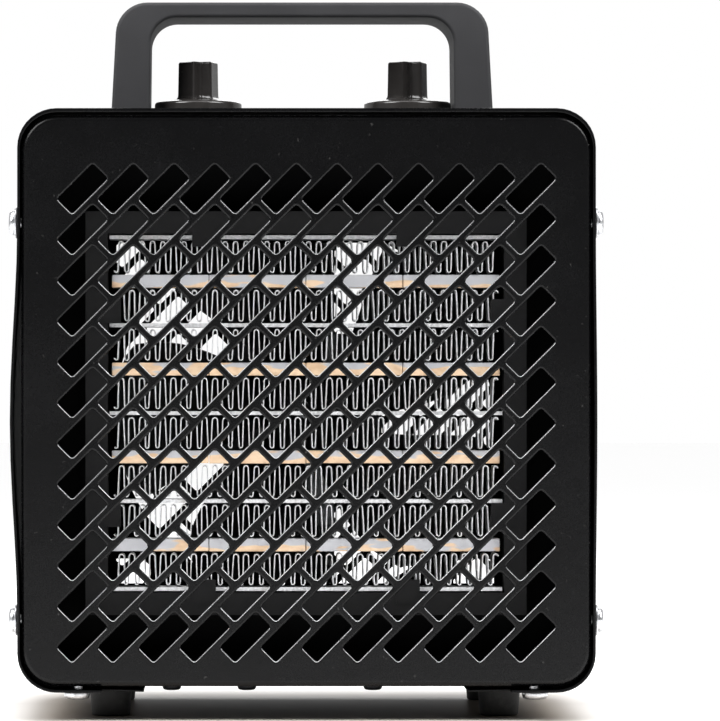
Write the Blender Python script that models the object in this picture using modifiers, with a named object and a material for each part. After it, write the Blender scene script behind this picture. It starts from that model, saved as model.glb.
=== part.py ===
"""Ceramic space heater: a folded steel cabinet with a slotted front panel, a moulded handle, two
rotary controls, and inside it a fan that blows through a ceramic heating element.

Lengths are in metres. +Z is up, the front faces -Y, and the origin is on the floor under the
middle of the whole.
"""

import math

import bmesh
import bpy
from mathutils import Matrix, Vector

# ---- Sizes of the cabinet ----------------------------------------------------------------------

SHELL_WIDTH = 0.195
SHELL_HEIGHT = 0.197
SHELL_DEPTH = 0.160
SHELL_RADIUS = 0.0132  # outer radius of the four long bends
SHEET = 0.0008  # thickness of all the folded steel
GAP = 0.0003  # clearance between pieces that touch
CUT_MARGIN = 0.004  # how far a drill or another cutter runs past the sheet that it cuts
BOW_LEFT = 0.0025  # how far each thin side wall springs out between its screws
BOW_RIGHT = 0.0005
FLANGE_REACH = 0.0425  # how far each bottom flange turns in
FLANGE_NOTCH = 0.0142  # the flange's end corners are cut back by this much
FLANGE_NOTCH_DEPTH = 0.012
BASE_END_CLEARANCE = 0.0014  # from a panel's flange to the end of the base plate

FOOT_HEIGHT = 0.0093
FOOT_TOP_RADIUS = 0.00735
FOOT_BASE_RADIUS = 0.0066
FOOT_EDGE = 0.0006  # chamfer round the underside
FOOT_SIDE_INSET = 0.03085  # from the cabinet's side to a foot's centre
FOOT_STEM_RADIUS = 0.0020
FOOT_BARB_TIP_RADIUS = 0.0012
FOOT_BARB_RADIUS = 0.0034
FOOT_BARB_HEIGHT = 0.0030
FOOT_BARB_CLEARANCE = 0.0008  # from the baffle to the barb of a front foot

# ---- Sizes of the front and rear panels --------------------------------------------------------

PANEL_SIDE_GAP = 0.00055  # from the panel's flange to the inside of the cabinet
PANEL_TOP_GAP = 0.0016
PANEL_BOTTOM_GAP = 0.0013
PANEL_RECESS = 0.0006  # the panel's face lies this far inside the cabinet's edge
PANEL_FLANGE = 0.018
PANEL_RADIUS = 0.0120
PANEL_BEND = 0.0020

SLOT_PITCH = 0.01374
SLOT_LENGTH = 0.01704
SLOT_WIDTH = 0.00727
SLOT_ANGLE = 45.0
SLOT_BORDER = 0.0075  # least plain metal between the slots and the panel's edge
AXIS_DROP = 0.0043  # the slots, element and fan are centred this far below the cabinet's middle

# ---- Sizes of the screws -----------------------------------------------------------------------

SCREW_RADIUS = 0.00195
SCREW_LENGTH = 0.0085
WASHER_RADIUS = 0.0053
WASHER_THICKNESS = 0.0008
SCREW_HEAD_RADIUS = 0.0042
SCREW_HEAD_HEIGHT = 0.0020
PAN_HEAD_RADIUS = 0.0044
PAN_HEAD_HEIGHT = 0.0024
SMALL_HEAD_RADIUS = 0.0032
SMALL_HEAD_HEIGHT = 0.0019
BASE_SCREW_LENGTH = 0.0045
SCREW_EDGE_INSET = 0.009  # from the cabinet's front or rear edge to a screw
SIDE_SCREW_RISE = 0.0242  # lower side screw, above the cabinet's underside
SIDE_SCREW_FALL = 0.0384  # upper side screw, below the cabinet's top
FLANGE_SCREW_INSET = 0.0200  # from the cabinet's side to a flange screw
BASE_SCREW_SHARES = (-0.762, -0.332, 0.390)  # their places, as shares of the baffle flange's reach

# ---- Sizes of the handle and the controls ------------------------------------------------------

HANDLE_SPAN = 0.1335  # outside of the legs, at their base
HANDLE_TAPER = 0.0022  # each leg's outer face leans in by this much
HANDLE_LEG = 0.01345
HANDLE_LEG_TAPER = 0.0006  # the legs' inner faces lean in by this much
HANDLE_RISE = 0.0406
HANDLE_BAR = 0.0053
HANDLE_DEPTH = 0.0355
HANDLE_OUTER_RADIUS = 0.0105
HANDLE_INNER_RADIUS = 0.0090
HANDLE_EDGE = 0.0012  # rounding of the front and rear edges
HANDLE_SHIFT = -0.0005  # the handle sits this far off the cabinet's middle
HANDLE_SCREW_LENGTH = 0.014

KNOB_SIDE_GAP = 0.0006  # from a knob's skirt to the nearer handle leg
KNOB_RISE = 0.0010  # the knobs run this far above the cabinet
KNOB_HEIGHT = 0.0197
KNOB_SKIRT_RADIUS = 0.0153
KNOB_SKIRT_EDGE = 0.0057
KNOB_SKIRT_DOME = 0.0068
KNOB_SKIRT_CROWN = 0.0003  # fall of the dome from its middle to its shoulder
KNOB_SKIRT_EASE = (0.0012, 0.0010)  # chamfer of the skirt's upper edge, across and down
KNOB_WALL = 0.0012
KNOB_HUB_RADIUS = 0.0055
GRIP_REACH = 0.0062  # from a knob's axis to the end of a lobe
GRIP_LOBE_WIDTH = 0.0078
GRIP_FLUTE_RADIUS = 0.0043  # from a knob's axis to the bottom of a flute
GRIP_LOBES = 3
GRIP_ROOT = 0.0015  # how deep the grip is sunk into the dome
GRIP_TURN = -137.0  # direction of the first lobe, in degrees about Z

SPINDLE_RADIUS = 0.0030
SPINDLE_ENGAGEMENT = 0.0120  # how far a spindle reaches into its knob
SPINDLE_DEPTH = 0.0110  # how far a spindle reaches into its control
COLLAR_RADIUS = 0.0050
THERMOSTAT_SIZE = (0.030, 0.026, 0.013)
SWITCH_SIZE = (0.026, 0.026, 0.022)
CONTROL_EDGE = 0.0015

# ---- Sizes of the heating element --------------------------------------------------------------

CORE_FRONT = 0.0125  # behind the cabinet's front edge
CORE_DEPTH = 0.015
CORE_SIDE_INSET = 0.03085  # from the cabinet's side to the end of the core
BAR_COUNT = 4
BAR_PITCH = 0.02985
BAR_HEIGHT = 0.0044
BAR_INSET = 0.0008  # the ceramic stops this far short of the core's ends
PLATE_THICKNESS = 0.00125
FIN_PITCH = 0.00360
FIN_SHEET = 0.00035

FRAME_CLEARANCE = 0.0006
FRAME_WALL = 0.0075
FRAME_LEAD = 0.0020  # the frame starts this far in front of the core
FRAME_TAIL = 0.0012  # and ends this far behind it
TAB_WIDTH = 0.0080
TAB_REACH = 0.0045
TAB_THICKNESS = 0.0014
TAB_OFFSET = 0.0346  # the tabs stand this far either side of the core's middle

# ---- Sizes of the air path ---------------------------------------------------------------------

BAFFLE_CLEARANCE = 0.0007
BAFFLE_FLANGE_LENGTH = 0.014
BAFFLE_FOOT_CLEARANCE = 0.0032  # from the flange's ends to the feet's barbs
WINDOW_LIP = 0.0020  # the baffle's window is this much smaller than the core, all round
DUCT_CONTROL_GAP = 0.0006  # from the duct's back to the front of the controls
DUCT_MARGIN = 0.0110  # the duct is this much larger than the core, all round
DUCT_RADIUS = 0.006
DUCT_LIP = 0.0030  # how far the duct's back turns in round its opening
FAN_TIP_GAP = 0.0023  # from the opening's nearest edge to the blades' tips
FAN_SETBACK = 0.0020  # from the duct's back to the rear of the blades' room
FAN_AXIAL = 0.014
FAN_BLADES = 5
BLADE_THICKNESS = 0.0014
BLADE_HALF_ANGLE = 28.0
BLADE_SWEEP = 14.0
BLADE_TURN = 25.0  # direction of the first blade's root, in degrees from +X towards +Z
HUB_RADIUS = 0.0160
HUB_LENGTH = 0.0180
SHAFT_RADIUS = 0.0020
SHAFT_CLEARANCE = 0.0004
SHAFT_LEAD = 0.0020  # the shaft stands this far out of the hub
BLADE_ROOT = 0.0030  # how deep the blades are sunk into the hub

STRAP_SETBACK = 0.012  # from the duct's back to the motor strap
STRAP_WIDTH = 0.022
STRAP_FLAT = 0.040  # half length of the strap's middle
STRAP_SHEET = 0.0012
STRAP_INSET = 0.0010  # from the duct's top or bottom to the end of the strap
STRAP_FOOT = 0.0060
STRAP_HOLE_RADIUS = 0.008
STACK_SIZE = 0.056
STACK_DEPTH = 0.024
STACK_CORNER = 0.007
BELL_RADIUS = 0.020
BELL_DEPTH = 0.008

CUTOUT_RADIUS = 0.0080
CUTOUT_HEIGHT = 0.0065
CUTOUT_FLANGE_RADIUS = 0.0095
CUTOUT_FLANGE = 0.0010
CUTOUT_EDGE = 0.0010
CUTOUT_X = 0.030
BLOCK_SIZE = (0.036, 0.016, 0.013)
BLOCK_FOOT_CLEARANCE = 0.004  # from a rear foot's barb to the terminal block
BLOCK_END_INSET = 0.040  # from the cabinet's rear edge
BLOCK_WELLS = 3
BLOCK_WELL_RADIUS = 0.0026
BLOCK_WELL_PITCH = 0.0105
BLOCK_WELL_DEPTH = 0.008
BUSHING_REACH = 0.006  # behind the cabinet's rear edge
BUSHING_BORE = 0.0036
BUSHING_NECK = 0.0060
BUSHING_COLLAR = 0.0090
BUSHING_COLLAR_THICKNESS = 0.0020
BUSHING_TAIL = 0.0050
BUSHING_TAPER = 0.0008
BUSHING_CATCH = 0.0014  # how far its barb stands out behind the panel
BUSHING_SIDE_INSET = 0.062
BUSHING_RISE = 0.0185
BUSHING_BORDER = 0.0012  # least plain metal between the bushing's collar and a slot

# ---- Places worked out from the sizes ----------------------------------------------------------

SHELL_BOTTOM = FOOT_HEIGHT + GAP
SHELL_TOP = SHELL_BOTTOM + SHELL_HEIGHT
HALF_WIDTH = SHELL_WIDTH / 2
FRONT = -(SHELL_DEPTH + BUSHING_REACH) / 2
REAR = FRONT + SHELL_DEPTH
MIDDLE = FRONT + SHELL_DEPTH / 2
AXIS_Z = SHELL_BOTTOM + SHELL_HEIGHT / 2 - AXIS_DROP

INNER_HALF_WIDTH = HALF_WIDTH - SHEET
INNER_TOP = SHELL_TOP - SHEET
FLANGE_TOP = SHELL_BOTTOM + SHEET
SIDE_SCREW_LOW = SHELL_BOTTOM + SIDE_SCREW_RISE
SIDE_SCREW_HIGH = SHELL_TOP - SIDE_SCREW_FALL

PANEL_WIDTH = 2 * (INNER_HALF_WIDTH - PANEL_SIDE_GAP)
PANEL_TOP = INNER_TOP - PANEL_TOP_GAP
PANEL_BOTTOM = FLANGE_TOP + PANEL_BOTTOM_GAP

BASE_BOTTOM = FLANGE_TOP + GAP
BASE_TOP = BASE_BOTTOM + SHEET
BASE_HALF_WIDTH = HALF_WIDTH - SHELL_RADIUS - GAP
BASE_END_INSET = PANEL_RECESS + PANEL_FLANGE + BASE_END_CLEARANCE

CORE_LENGTH = SHELL_WIDTH - 2 * CORE_SIDE_INSET
CORE_HEIGHT = BAR_COUNT * BAR_PITCH + PLATE_THICKNESS
CORE_Y = FRONT + CORE_FRONT + CORE_DEPTH / 2
FIN_HEIGHT = (BAR_PITCH - BAR_HEIGHT - PLATE_THICKNESS) / 2 - 2 * GAP
FRAME_FRONT = FRONT + CORE_FRONT - FRAME_LEAD
FRAME_BACK = FRONT + CORE_FRONT + CORE_DEPTH + FRAME_TAIL
BAFFLE_FRONT = FRAME_BACK + GAP
BAFFLE_BACK = BAFFLE_FRONT + SHEET
FOOT_END_INSET = BAFFLE_BACK - FRONT + FOOT_BARB_CLEARANCE + FOOT_BARB_RADIUS
BAFFLE_FLANGE_REACH = HALF_WIDTH - FOOT_SIDE_INSET - FOOT_BARB_RADIUS - BAFFLE_FOOT_CLEARANCE
DUCT_FRONT = BAFFLE_BACK + GAP
DUCT_BACK = MIDDLE - max(THERMOSTAT_SIZE[1], SWITCH_SIZE[1]) / 2 - DUCT_CONTROL_GAP
DUCT_HALF_X = CORE_LENGTH / 2 + DUCT_MARGIN
DUCT_HALF_Z = CORE_HEIGHT / 2 + DUCT_MARGIN
FAN_RADIUS = min(DUCT_HALF_X, DUCT_HALF_Z) - DUCT_LIP - FAN_TIP_GAP
FAN_Y = DUCT_BACK - FAN_SETBACK - FAN_AXIAL / 2
HUB_FRONT = FAN_Y - HUB_LENGTH / 2
STRAP_FRONT = DUCT_BACK + STRAP_SETBACK
MOTOR_FRONT = STRAP_FRONT + STRAP_SHEET + GAP
STACK_FRONT = MOTOR_FRONT + BELL_DEPTH
MOTOR_BACK = STACK_FRONT + STACK_DEPTH + BELL_DEPTH

BLOCK_X = FOOT_SIDE_INSET - HALF_WIDTH + FOOT_BARB_RADIUS + BLOCK_FOOT_CLEARANCE + BLOCK_SIZE[0] / 2

HANDLE_INNER_HALF = HANDLE_SPAN / 2 - HANDLE_LEG
KNOB_X = HANDLE_INNER_HALF - abs(HANDLE_SHIFT) - KNOB_SIDE_GAP - KNOB_SKIRT_RADIUS
KNOB_BASE = SHELL_TOP + KNOB_RISE
CONTROL_TOP = INNER_TOP - GAP

WELD = 0.00001
ROUND_STEPS = 5  # flats in a quarter turn of a large bend
BOW_STEPS = 6  # flats up the height of a bowed side wall
SCREW_SIDES = 8
SMALL_SIDES = 12  # flats round a small hole or a small turned piece
ROUND_SIDES = 16
KNOB_SIDES = 20

# ---- Colours and finishes ----------------------------------------------------------------------

FINISHES = {
    "black_enamel": ((0.020, 0.020, 0.022), 0.55, 0.0),
    "galvanised_steel": ((0.42, 0.43, 0.44), 0.45, 1.0),
    "zinc_plate": ((0.62, 0.63, 0.65), 0.30, 1.0),
    "black_oxide": ((0.030, 0.030, 0.032), 0.40, 0.6),
    "aluminium": ((0.70, 0.71, 0.72), 0.35, 1.0),
    "ceramic": ((0.62, 0.44, 0.31), 0.70, 0.0),
    "grey_moulding": ((0.050, 0.050, 0.052), 0.60, 0.0),
    "black_gloss_moulding": ((0.012, 0.012, 0.013), 0.18, 0.0),
    "black_moulding": ((0.018, 0.018, 0.019), 0.55, 0.0),
    "rubber": ((0.022, 0.022, 0.022), 0.80, 0.0),
    "lamination_steel": ((0.20, 0.20, 0.21), 0.50, 1.0),
    "bright_steel": ((0.60, 0.60, 0.61), 0.25, 1.0),
    "glazed_white": ((0.78, 0.77, 0.74), 0.35, 0.0),
}


# ---- Making and joining solids -----------------------------------------------------------------


def clear_scene():
    for obj in list(bpy.data.objects):
        bpy.data.objects.remove(obj, do_unlink=True)


def new_collection(name):
    made = bpy.data.collections.new(name)
    bpy.context.scene.collection.children.link(made)
    return made


def finish_of(name):
    found = bpy.data.materials.get(name)
    if found:
        return found
    colour, roughness, metallic = FINISHES[name]
    made = bpy.data.materials.new(name)
    made.use_nodes = True
    shader = made.node_tree.nodes["Principled BSDF"]
    shader.inputs["Base Color"].default_value = (*colour, 1.0)
    shader.inputs["Roughness"].default_value = roughness
    shader.inputs["Metallic"].default_value = metallic
    made.diffuse_color = (*colour, 1.0)
    return made


def object_from(bm, name):
    """A helper or a part, in the cutters' collection until it is given a finish."""
    mesh = bpy.data.meshes.new(name)
    bm.to_mesh(mesh)
    bm.free()
    made = bpy.data.objects.new(name, mesh)
    cutters.objects.link(made)
    made.hide_render = True
    made.display_type = "WIRE"
    return made


def as_part(obj, finish, smooth=False):
    """Moves an object to the heater's collection and gives it its finish."""
    cutters.objects.unlink(obj)
    heater.objects.link(obj)
    obj.hide_render = False
    obj.display_type = "TEXTURED"
    obj.data.materials.append(finish_of(finish))
    if smooth:
        obj.data.shade_smooth()
        obj.data.set_sharp_from_angle(angle=math.radians(35))
    return obj


def boolean(target, other, operation):
    modifier = target.modifiers.new(operation.lower() + "_" + other.name, "BOOLEAN")
    modifier.operation = operation
    modifier.object = other


def solidify(obj, thickness, offset=-1.0):
    modifier = obj.modifiers.new("thickness", "SOLIDIFY")
    modifier.thickness = thickness
    modifier.offset = offset
    modifier.use_even_offset = True


def pointing(position, direction):
    """The place of a turned piece whose own +Z points along direction."""
    turn = Vector(direction).to_track_quat("Z", "Y").to_matrix().to_4x4()
    return Matrix.Translation(position) @ turn


def add_box(bm, low, high):
    low, high = Vector(low), Vector(high)
    size = Matrix.Diagonal((*(high - low), 1.0))
    bmesh.ops.create_cube(bm, size=1.0, matrix=Matrix.Translation((low + high) / 2) @ size)


def add_rod(bm, start, end, radius, sides=SMALL_SIDES):
    start, end = Vector(start), Vector(end)
    bmesh.ops.create_cone(
        bm,
        cap_ends=True,
        segments=sides,
        radius1=radius,
        radius2=radius,
        depth=(end - start).length,
        matrix=pointing((start + end) / 2, end - start),
    )


def drill(target, holes, radius, sides=SMALL_SIDES):
    """Cuts round holes, each given by the two ends of its drill."""
    bm = bmesh.new()
    for start, end in holes:
        add_rod(bm, start, end, radius, sides)
    boolean(target, object_from(bm, "drill_" + target.name), "DIFFERENCE")


def arc(centre, radius, start, end, steps=ROUND_STEPS):
    """Points along an arc, with its angles in degrees."""
    angles = [math.radians(start + (end - start) * i / steps) for i in range(steps + 1)]
    return [(centre[0] + radius * math.cos(a), centre[1] + radius * math.sin(a)) for a in angles]


def rectangle(half_width, low, high):
    return [(-half_width, low), (half_width, low), (half_width, high), (-half_width, high)]


def rounded_rectangle(half_width, low, high, radius, steps=ROUND_STEPS):
    x = half_width - radius
    corners = ((x, low, -90), (x, high, 0), (-x, high, 90), (-x, low, 180))
    points = []
    for centre_x, edge, start in corners:
        inward = radius if edge == low else -radius
        points += arc((centre_x, edge + inward), radius, start, start + 90, steps)
    return points


def flat_piece(name, loops, thickness, place):
    """A flat outline with its holes, made thick about its own plane and then put in place."""
    curve = bpy.data.curves.new(name, "CURVE")
    curve.dimensions = "2D"
    curve.fill_mode = "BOTH"
    curve.extrude = thickness / 2
    for loop in loops:
        spline = curve.splines.new("POLY")
        spline.points.add(len(loop) - 1)
        for point, (x, y) in zip(spline.points, loop):
            point.co = (x, y, 0.0, 1.0)
        spline.use_cyclic_u = True
    drawn = bpy.data.objects.new(name, curve)
    cutters.objects.link(drawn)
    graph = bpy.context.evaluated_depsgraph_get()
    mesh = bpy.data.meshes.new_from_object(drawn.evaluated_get(graph))
    bpy.data.objects.remove(drawn)
    bpy.data.curves.remove(curve)
    bm = bmesh.new()
    bm.from_mesh(mesh)
    bpy.data.meshes.remove(mesh)
    bmesh.ops.remove_doubles(bm, verts=bm.verts, dist=WELD)
    bmesh.ops.recalc_face_normals(bm, faces=bm.faces)
    made = object_from(bm, name)
    made.matrix_world = place
    return made


def upright(y):
    """The place of a flat piece that is drawn in X and Z and stands at depth y."""
    return Matrix.Translation((0.0, y, 0.0)) @ Matrix.Rotation(math.radians(90), 4, "X")


def turned_piece(name, profile, place, sides=SMALL_SIDES, ring=False):
    """A profile of (radius, height) points, from the top down its outer side, turned about Z.
    A ring's profile closes on itself; any other starts and ends on the axis."""
    bm = bmesh.new()
    verts = [bm.verts.new((radius, 0.0, height)) for radius, height in profile]
    for pair in zip(verts, verts[1:]):
        bm.edges.new(pair)
    if ring:
        bm.edges.new((verts[-1], verts[0]))
    made = object_from(bm, name)
    turning = made.modifiers.new("turning", "SCREW")
    turning.steps = sides
    turning.render_steps = sides
    turning.use_merge_vertices = True
    turning.merge_threshold = WELD
    turning.use_smooth_shade = False
    made.matrix_world = place
    return made


def folded_sheet(name, outline, start, end, along):
    """An open surface: an outline of 3-D points, drawn out from start to end along an axis.
    The surface faces away from its own middle."""
    bm = bmesh.new()
    way = Vector(along) * (end - start)
    verts = [bm.verts.new(Vector(point) + Vector(along) * start) for point in outline]
    edges = [bm.edges.new(pair) for pair in zip(verts, verts[1:])]
    drawn = bmesh.ops.extrude_edge_only(bm, edges=edges)["geom"]
    bmesh.ops.translate(bm, vec=way, verts=[v for v in drawn if isinstance(v, bmesh.types.BMVert)])
    bmesh.ops.recalc_face_normals(bm, faces=bm.faces)
    middle = sum((v.co for v in bm.verts), Vector()) / len(bm.verts)
    outward = sum(f.normal.dot(f.calc_center_median() - middle) * f.calc_area() for f in bm.faces)
    if outward < 0:
        bmesh.ops.reverse_faces(bm, faces=bm.faces)
    return object_from(bm, name)


def pressed_pan(name, low, high, facing, radius, bend):
    """A pan with round corners and a bent edge, whose face looks along facing * Y."""
    bm = bmesh.new()
    add_box(bm, low, high)
    back = [f for f in bm.faces if f.normal.y * facing < -0.5]
    bmesh.ops.delete(bm, geom=back, context="FACES_ONLY")
    upright_edges = [e for e in bm.edges if abs(e.verts[0].co.y - e.verts[1].co.y) > WELD]
    bmesh.ops.bevel(
        bm, geom=upright_edges, offset=radius, segments=ROUND_STEPS, profile=0.5, affect="EDGES"
    )
    face_y = low[1] if facing < 0 else high[1]
    rim = [e for e in bm.edges if all(abs(v.co.y - face_y) < WELD for v in e.verts)]
    if bend:
        bmesh.ops.bevel(bm, geom=rim, offset=bend, segments=2, profile=0.5, affect="EDGES")
    made = object_from(bm, name)
    solidify(made, SHEET)
    return made


# ---- The cabinet -------------------------------------------------------------------------------


def bow_at(z, most):
    """How far a side wall stands out at height z: nothing at the screws, most half way between."""
    share = (z - SIDE_SCREW_LOW) / (SIDE_SCREW_HIGH - SIDE_SCREW_LOW)
    return most * math.sin(math.pi * share) ** 2 if 0 < share < 1 else 0.0


def shell_outline():
    """The cabinet's outer surface in X and Z, from the right flange's end to the left one's."""
    x = HALF_WIDTH - SHELL_RADIUS
    low, high = SHELL_BOTTOM + SHELL_RADIUS, SHELL_TOP - SHELL_RADIUS
    climb = SIDE_SCREW_HIGH - SIDE_SCREW_LOW
    rise = [SIDE_SCREW_LOW + climb * i / BOW_STEPS for i in range(BOW_STEPS + 1)]
    right = [(HALF_WIDTH + bow_at(z, BOW_RIGHT), z) for z in rise]
    left = [(-HALF_WIDTH - bow_at(z, BOW_LEFT), z) for z in reversed(rise)]
    return (
        [(HALF_WIDTH - FLANGE_REACH, SHELL_BOTTOM)]
        + arc((x, low), SHELL_RADIUS, -90, 0)
        + right
        + arc((x, high), SHELL_RADIUS, 0, 90)
        + arc((-x, high), SHELL_RADIUS, 90, 180)
        + left
        + arc((-x, low), SHELL_RADIUS, 180, 270)
        + [(FLANGE_REACH - HALF_WIDTH, SHELL_BOTTOM)]
    )


def side_screw_places():
    """(end, side, level, position) of each side screw: its place on the cabinet's wall."""
    places = []
    for end, y in (("front", FRONT + SCREW_EDGE_INSET), ("rear", REAR - SCREW_EDGE_INSET)):
        for side, sign in (("left", -1), ("right", 1)):
            for level, z in (("upper", SIDE_SCREW_HIGH), ("lower", SIDE_SCREW_LOW)):
                places.append((f"{end}_{side}_{level}", sign, Vector((sign * HALF_WIDTH, y, z))))
    return places


def flange_screw_places():
    places = []
    for end, y in (("front", FRONT + SCREW_EDGE_INSET), ("rear", REAR - SCREW_EDGE_INSET)):
        for side, sign in (("left", -1), ("right", 1)):
            x = sign * (HALF_WIDTH - FLANGE_SCREW_INSET)
            places.append((f"{end}_{side}", Vector((x, y, SHELL_BOTTOM))))
    return places


def foot_places():
    places = []
    for end, y in (("front", FRONT + FOOT_END_INSET), ("rear", REAR - FOOT_END_INSET)):
        for side, sign in (("left", -1), ("right", 1)):
            x = sign * (HALF_WIDTH - FOOT_SIDE_INSET)
            places.append((f"{end}_{side}", Vector((x, y, 0.0))))
    return places


def foot_stem_holes(z):
    return [through(place + Vector((0, 0, z)), (0, 0, 1)) for _, place in foot_places()]


def base_screw_places():
    y = BAFFLE_BACK + BAFFLE_FLANGE_LENGTH / 2
    return [Vector((share * BAFFLE_FLANGE_REACH, y, BASE_BOTTOM)) for share in BASE_SCREW_SHARES]


def handle_screw_places():
    reach = HANDLE_SPAN / 2 - HANDLE_LEG / 2
    return [
        ("left", Vector((HANDLE_SHIFT - reach, MIDDLE, CONTROL_TOP))),
        ("right", Vector((HANDLE_SHIFT + reach, MIDDLE, CONTROL_TOP))),
    ]


def through(position, direction, reach=CUT_MARGIN):
    """The two ends of a drill that passes a point by reach each way."""
    way = Vector(direction) * reach
    return position - way, position + way


def side_and_flange_holes():
    """Holes for the screws that clamp the panels' flanges inside the cabinet."""
    sides = [through(place, (1, 0, 0)) for _, _, place in side_screw_places()]
    flanges = [through(place, (0, 0, 1)) for _, place in flange_screw_places()]
    return sides + flanges


def make_shell():
    outline = [(x, 0.0, z) for x, z in shell_outline()]
    shell = folded_sheet("outer_shell", outline, FRONT, REAR, (0, 1, 0))
    solidify(shell, SHEET)
    drill(shell, side_and_flange_holes(), SCREW_RADIUS + GAP)
    handle_holes = [through(place, (0, 0, 1)) for _, place in handle_screw_places()]
    drill(shell, handle_holes, SCREW_RADIUS + GAP)
    drill(shell, foot_stem_holes(FLANGE_TOP), FOOT_STEM_RADIUS + GAP)
    collars = [through(Vector((sign * KNOB_X, MIDDLE, SHELL_TOP)), (0, 0, 1)) for sign in (-1, 1)]
    drill(shell, collars, COLLAR_RADIUS + GAP, ROUND_SIDES)
    bm = bmesh.new()
    for sign in (-1, 1):
        inner = sign * (HALF_WIDTH - FLANGE_REACH - CUT_MARGIN)
        outer = sign * (HALF_WIDTH - FLANGE_REACH + FLANGE_NOTCH)
        low_x, high_x = min(inner, outer), max(inner, outer)
        for low_y, high_y in (
            (FRONT - CUT_MARGIN, FRONT + FLANGE_NOTCH_DEPTH),
            (REAR - FLANGE_NOTCH_DEPTH, REAR + CUT_MARGIN),
        ):
            low = (low_x, low_y, SHELL_BOTTOM - CUT_MARGIN)
            add_box(bm, low, (high_x, high_y, FLANGE_TOP + CUT_MARGIN))
    boolean(shell, object_from(bm, "notches"), "DIFFERENCE")
    return as_part(shell, "black_enamel")


def slot_loop(x, z):
    """One slot's outline, its length rising from lower left to upper right."""
    turn = Matrix.Rotation(math.radians(SLOT_ANGLE), 2)
    corners = rectangle(SLOT_LENGTH / 2, -SLOT_WIDTH / 2, SLOT_WIDTH / 2)
    turned = [turn @ Vector(corner) for corner in corners]
    return [(x + corner.x, z + corner.y) for corner in turned]


def slots_that_fit(room):
    """How many slots stand side by side in a stretch of plain metal."""
    slot_span = (SLOT_LENGTH + SLOT_WIDTH) * math.sin(math.radians(SLOT_ANGLE))
    return int((room - 2 * SLOT_BORDER - slot_span) / SLOT_PITCH) + 1


def slot_centres():
    columns = slots_that_fit(PANEL_WIDTH)
    rows = slots_that_fit(2 * min(AXIS_Z - PANEL_BOTTOM, PANEL_TOP - AXIS_Z))
    return [
        ((i - (columns - 1) / 2) * SLOT_PITCH, AXIS_Z + (j - (rows - 1) / 2) * SLOT_PITCH)
        for i in range(columns)
        for j in range(rows)
    ]


def make_panel(name, facing, centres):
    half = PANEL_WIDTH / 2
    face = FRONT + PANEL_RECESS if facing < 0 else REAR - PANEL_RECESS
    back = face - facing * PANEL_FLANGE
    low = (-half, min(face, back), PANEL_BOTTOM)
    high = (half, max(face, back), PANEL_TOP)
    panel = pressed_pan(name, low, high, facing, PANEL_RADIUS, PANEL_BEND)
    loops = [slot_loop(x, z) for x, z in centres]
    cutter = flat_piece(name + "_slots", loops, 2 * CUT_MARGIN, upright(face))
    boolean(panel, cutter, "DIFFERENCE")
    drill(panel, side_and_flange_holes(), SCREW_RADIUS + GAP)
    return panel


def make_front_panel():
    return as_part(make_panel("front_panel", -1, slot_centres()), "black_enamel")


def bushing_place():
    x = BUSHING_SIDE_INSET - HALF_WIDTH
    return Vector((x, REAR - PANEL_RECESS, SHELL_BOTTOM + BUSHING_RISE))


def clears_bushing(x, z):
    """Whether a slot centred at x and z leaves plain metal round the bushing."""
    away = Vector((bushing_place().x - x, bushing_place().z - z))
    along, across = Matrix.Rotation(math.radians(-SLOT_ANGLE), 2) @ away
    beyond_end = max(abs(along) - SLOT_LENGTH / 2, 0.0)
    beyond_side = max(abs(across) - SLOT_WIDTH / 2, 0.0)
    return math.hypot(beyond_end, beyond_side) > BUSHING_COLLAR + BUSHING_BORDER


def make_rear_panel():
    """The intake: the same slots as the front, apart from those round the bushing."""
    centres = [centre for centre in slot_centres() if clears_bushing(*centre)]
    panel = make_panel("rear_panel", 1, centres)
    drill(panel, [through(bushing_place(), (0, 1, 0))], BUSHING_NECK + GAP, ROUND_SIDES)
    return as_part(panel, "black_enamel")


def make_base_plate():
    bm = bmesh.new()
    low = (-BASE_HALF_WIDTH, FRONT + BASE_END_INSET, BASE_BOTTOM)
    high = (BASE_HALF_WIDTH, REAR - BASE_END_INSET, BASE_TOP)
    add_box(bm, low, high)
    plate = object_from(bm, "base_plate")
    drill(plate, foot_stem_holes(BASE_TOP), FOOT_STEM_RADIUS + GAP)
    drill(plate, [through(place, (0, 0, 1)) for place in base_screw_places()], SCREW_RADIUS + GAP)
    return as_part(plate, "black_enamel")


def make_feet():
    stem_top = BASE_TOP + GAP
    profile = [
        (0.0, stem_top + FOOT_BARB_HEIGHT),
        (FOOT_BARB_TIP_RADIUS, stem_top + FOOT_BARB_HEIGHT),
        (FOOT_BARB_RADIUS, stem_top),
        (FOOT_STEM_RADIUS, stem_top),
        (FOOT_STEM_RADIUS, FOOT_HEIGHT),
        (FOOT_TOP_RADIUS, FOOT_HEIGHT),
        (FOOT_BASE_RADIUS, FOOT_EDGE),
        (FOOT_BASE_RADIUS - FOOT_EDGE, 0.0),
        (0.0, 0.0),
    ]
    for name, place in foot_places():
        foot = turned_piece("foot_" + name, profile, Matrix.Translation(place))
        as_part(foot, "rubber")


def headed_screw(name, position, direction, head, length=SCREW_LENGTH, washer=None, dark=False):
    """A screw whose head stands on a surface at position and faces along direction."""
    head_radius, head_height = head
    seat = washer[1] if washer else 0.0
    profile = [(0.0, seat + head_height), (head_radius * 0.7, seat + head_height)]
    profile += [(head_radius, seat + head_height * 0.45), (head_radius, seat)]
    if washer:
        profile += [(washer[0], seat), (washer[0], 0.0)]
    profile += [(SCREW_RADIUS, 0.0), (SCREW_RADIUS, -length), (0.0, -length)]
    lifted = position + Vector(direction) * GAP
    screw = turned_piece(name, profile, pointing(lifted, direction), SCREW_SIDES)
    as_part(screw, "black_oxide" if dark else "zinc_plate")


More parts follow.
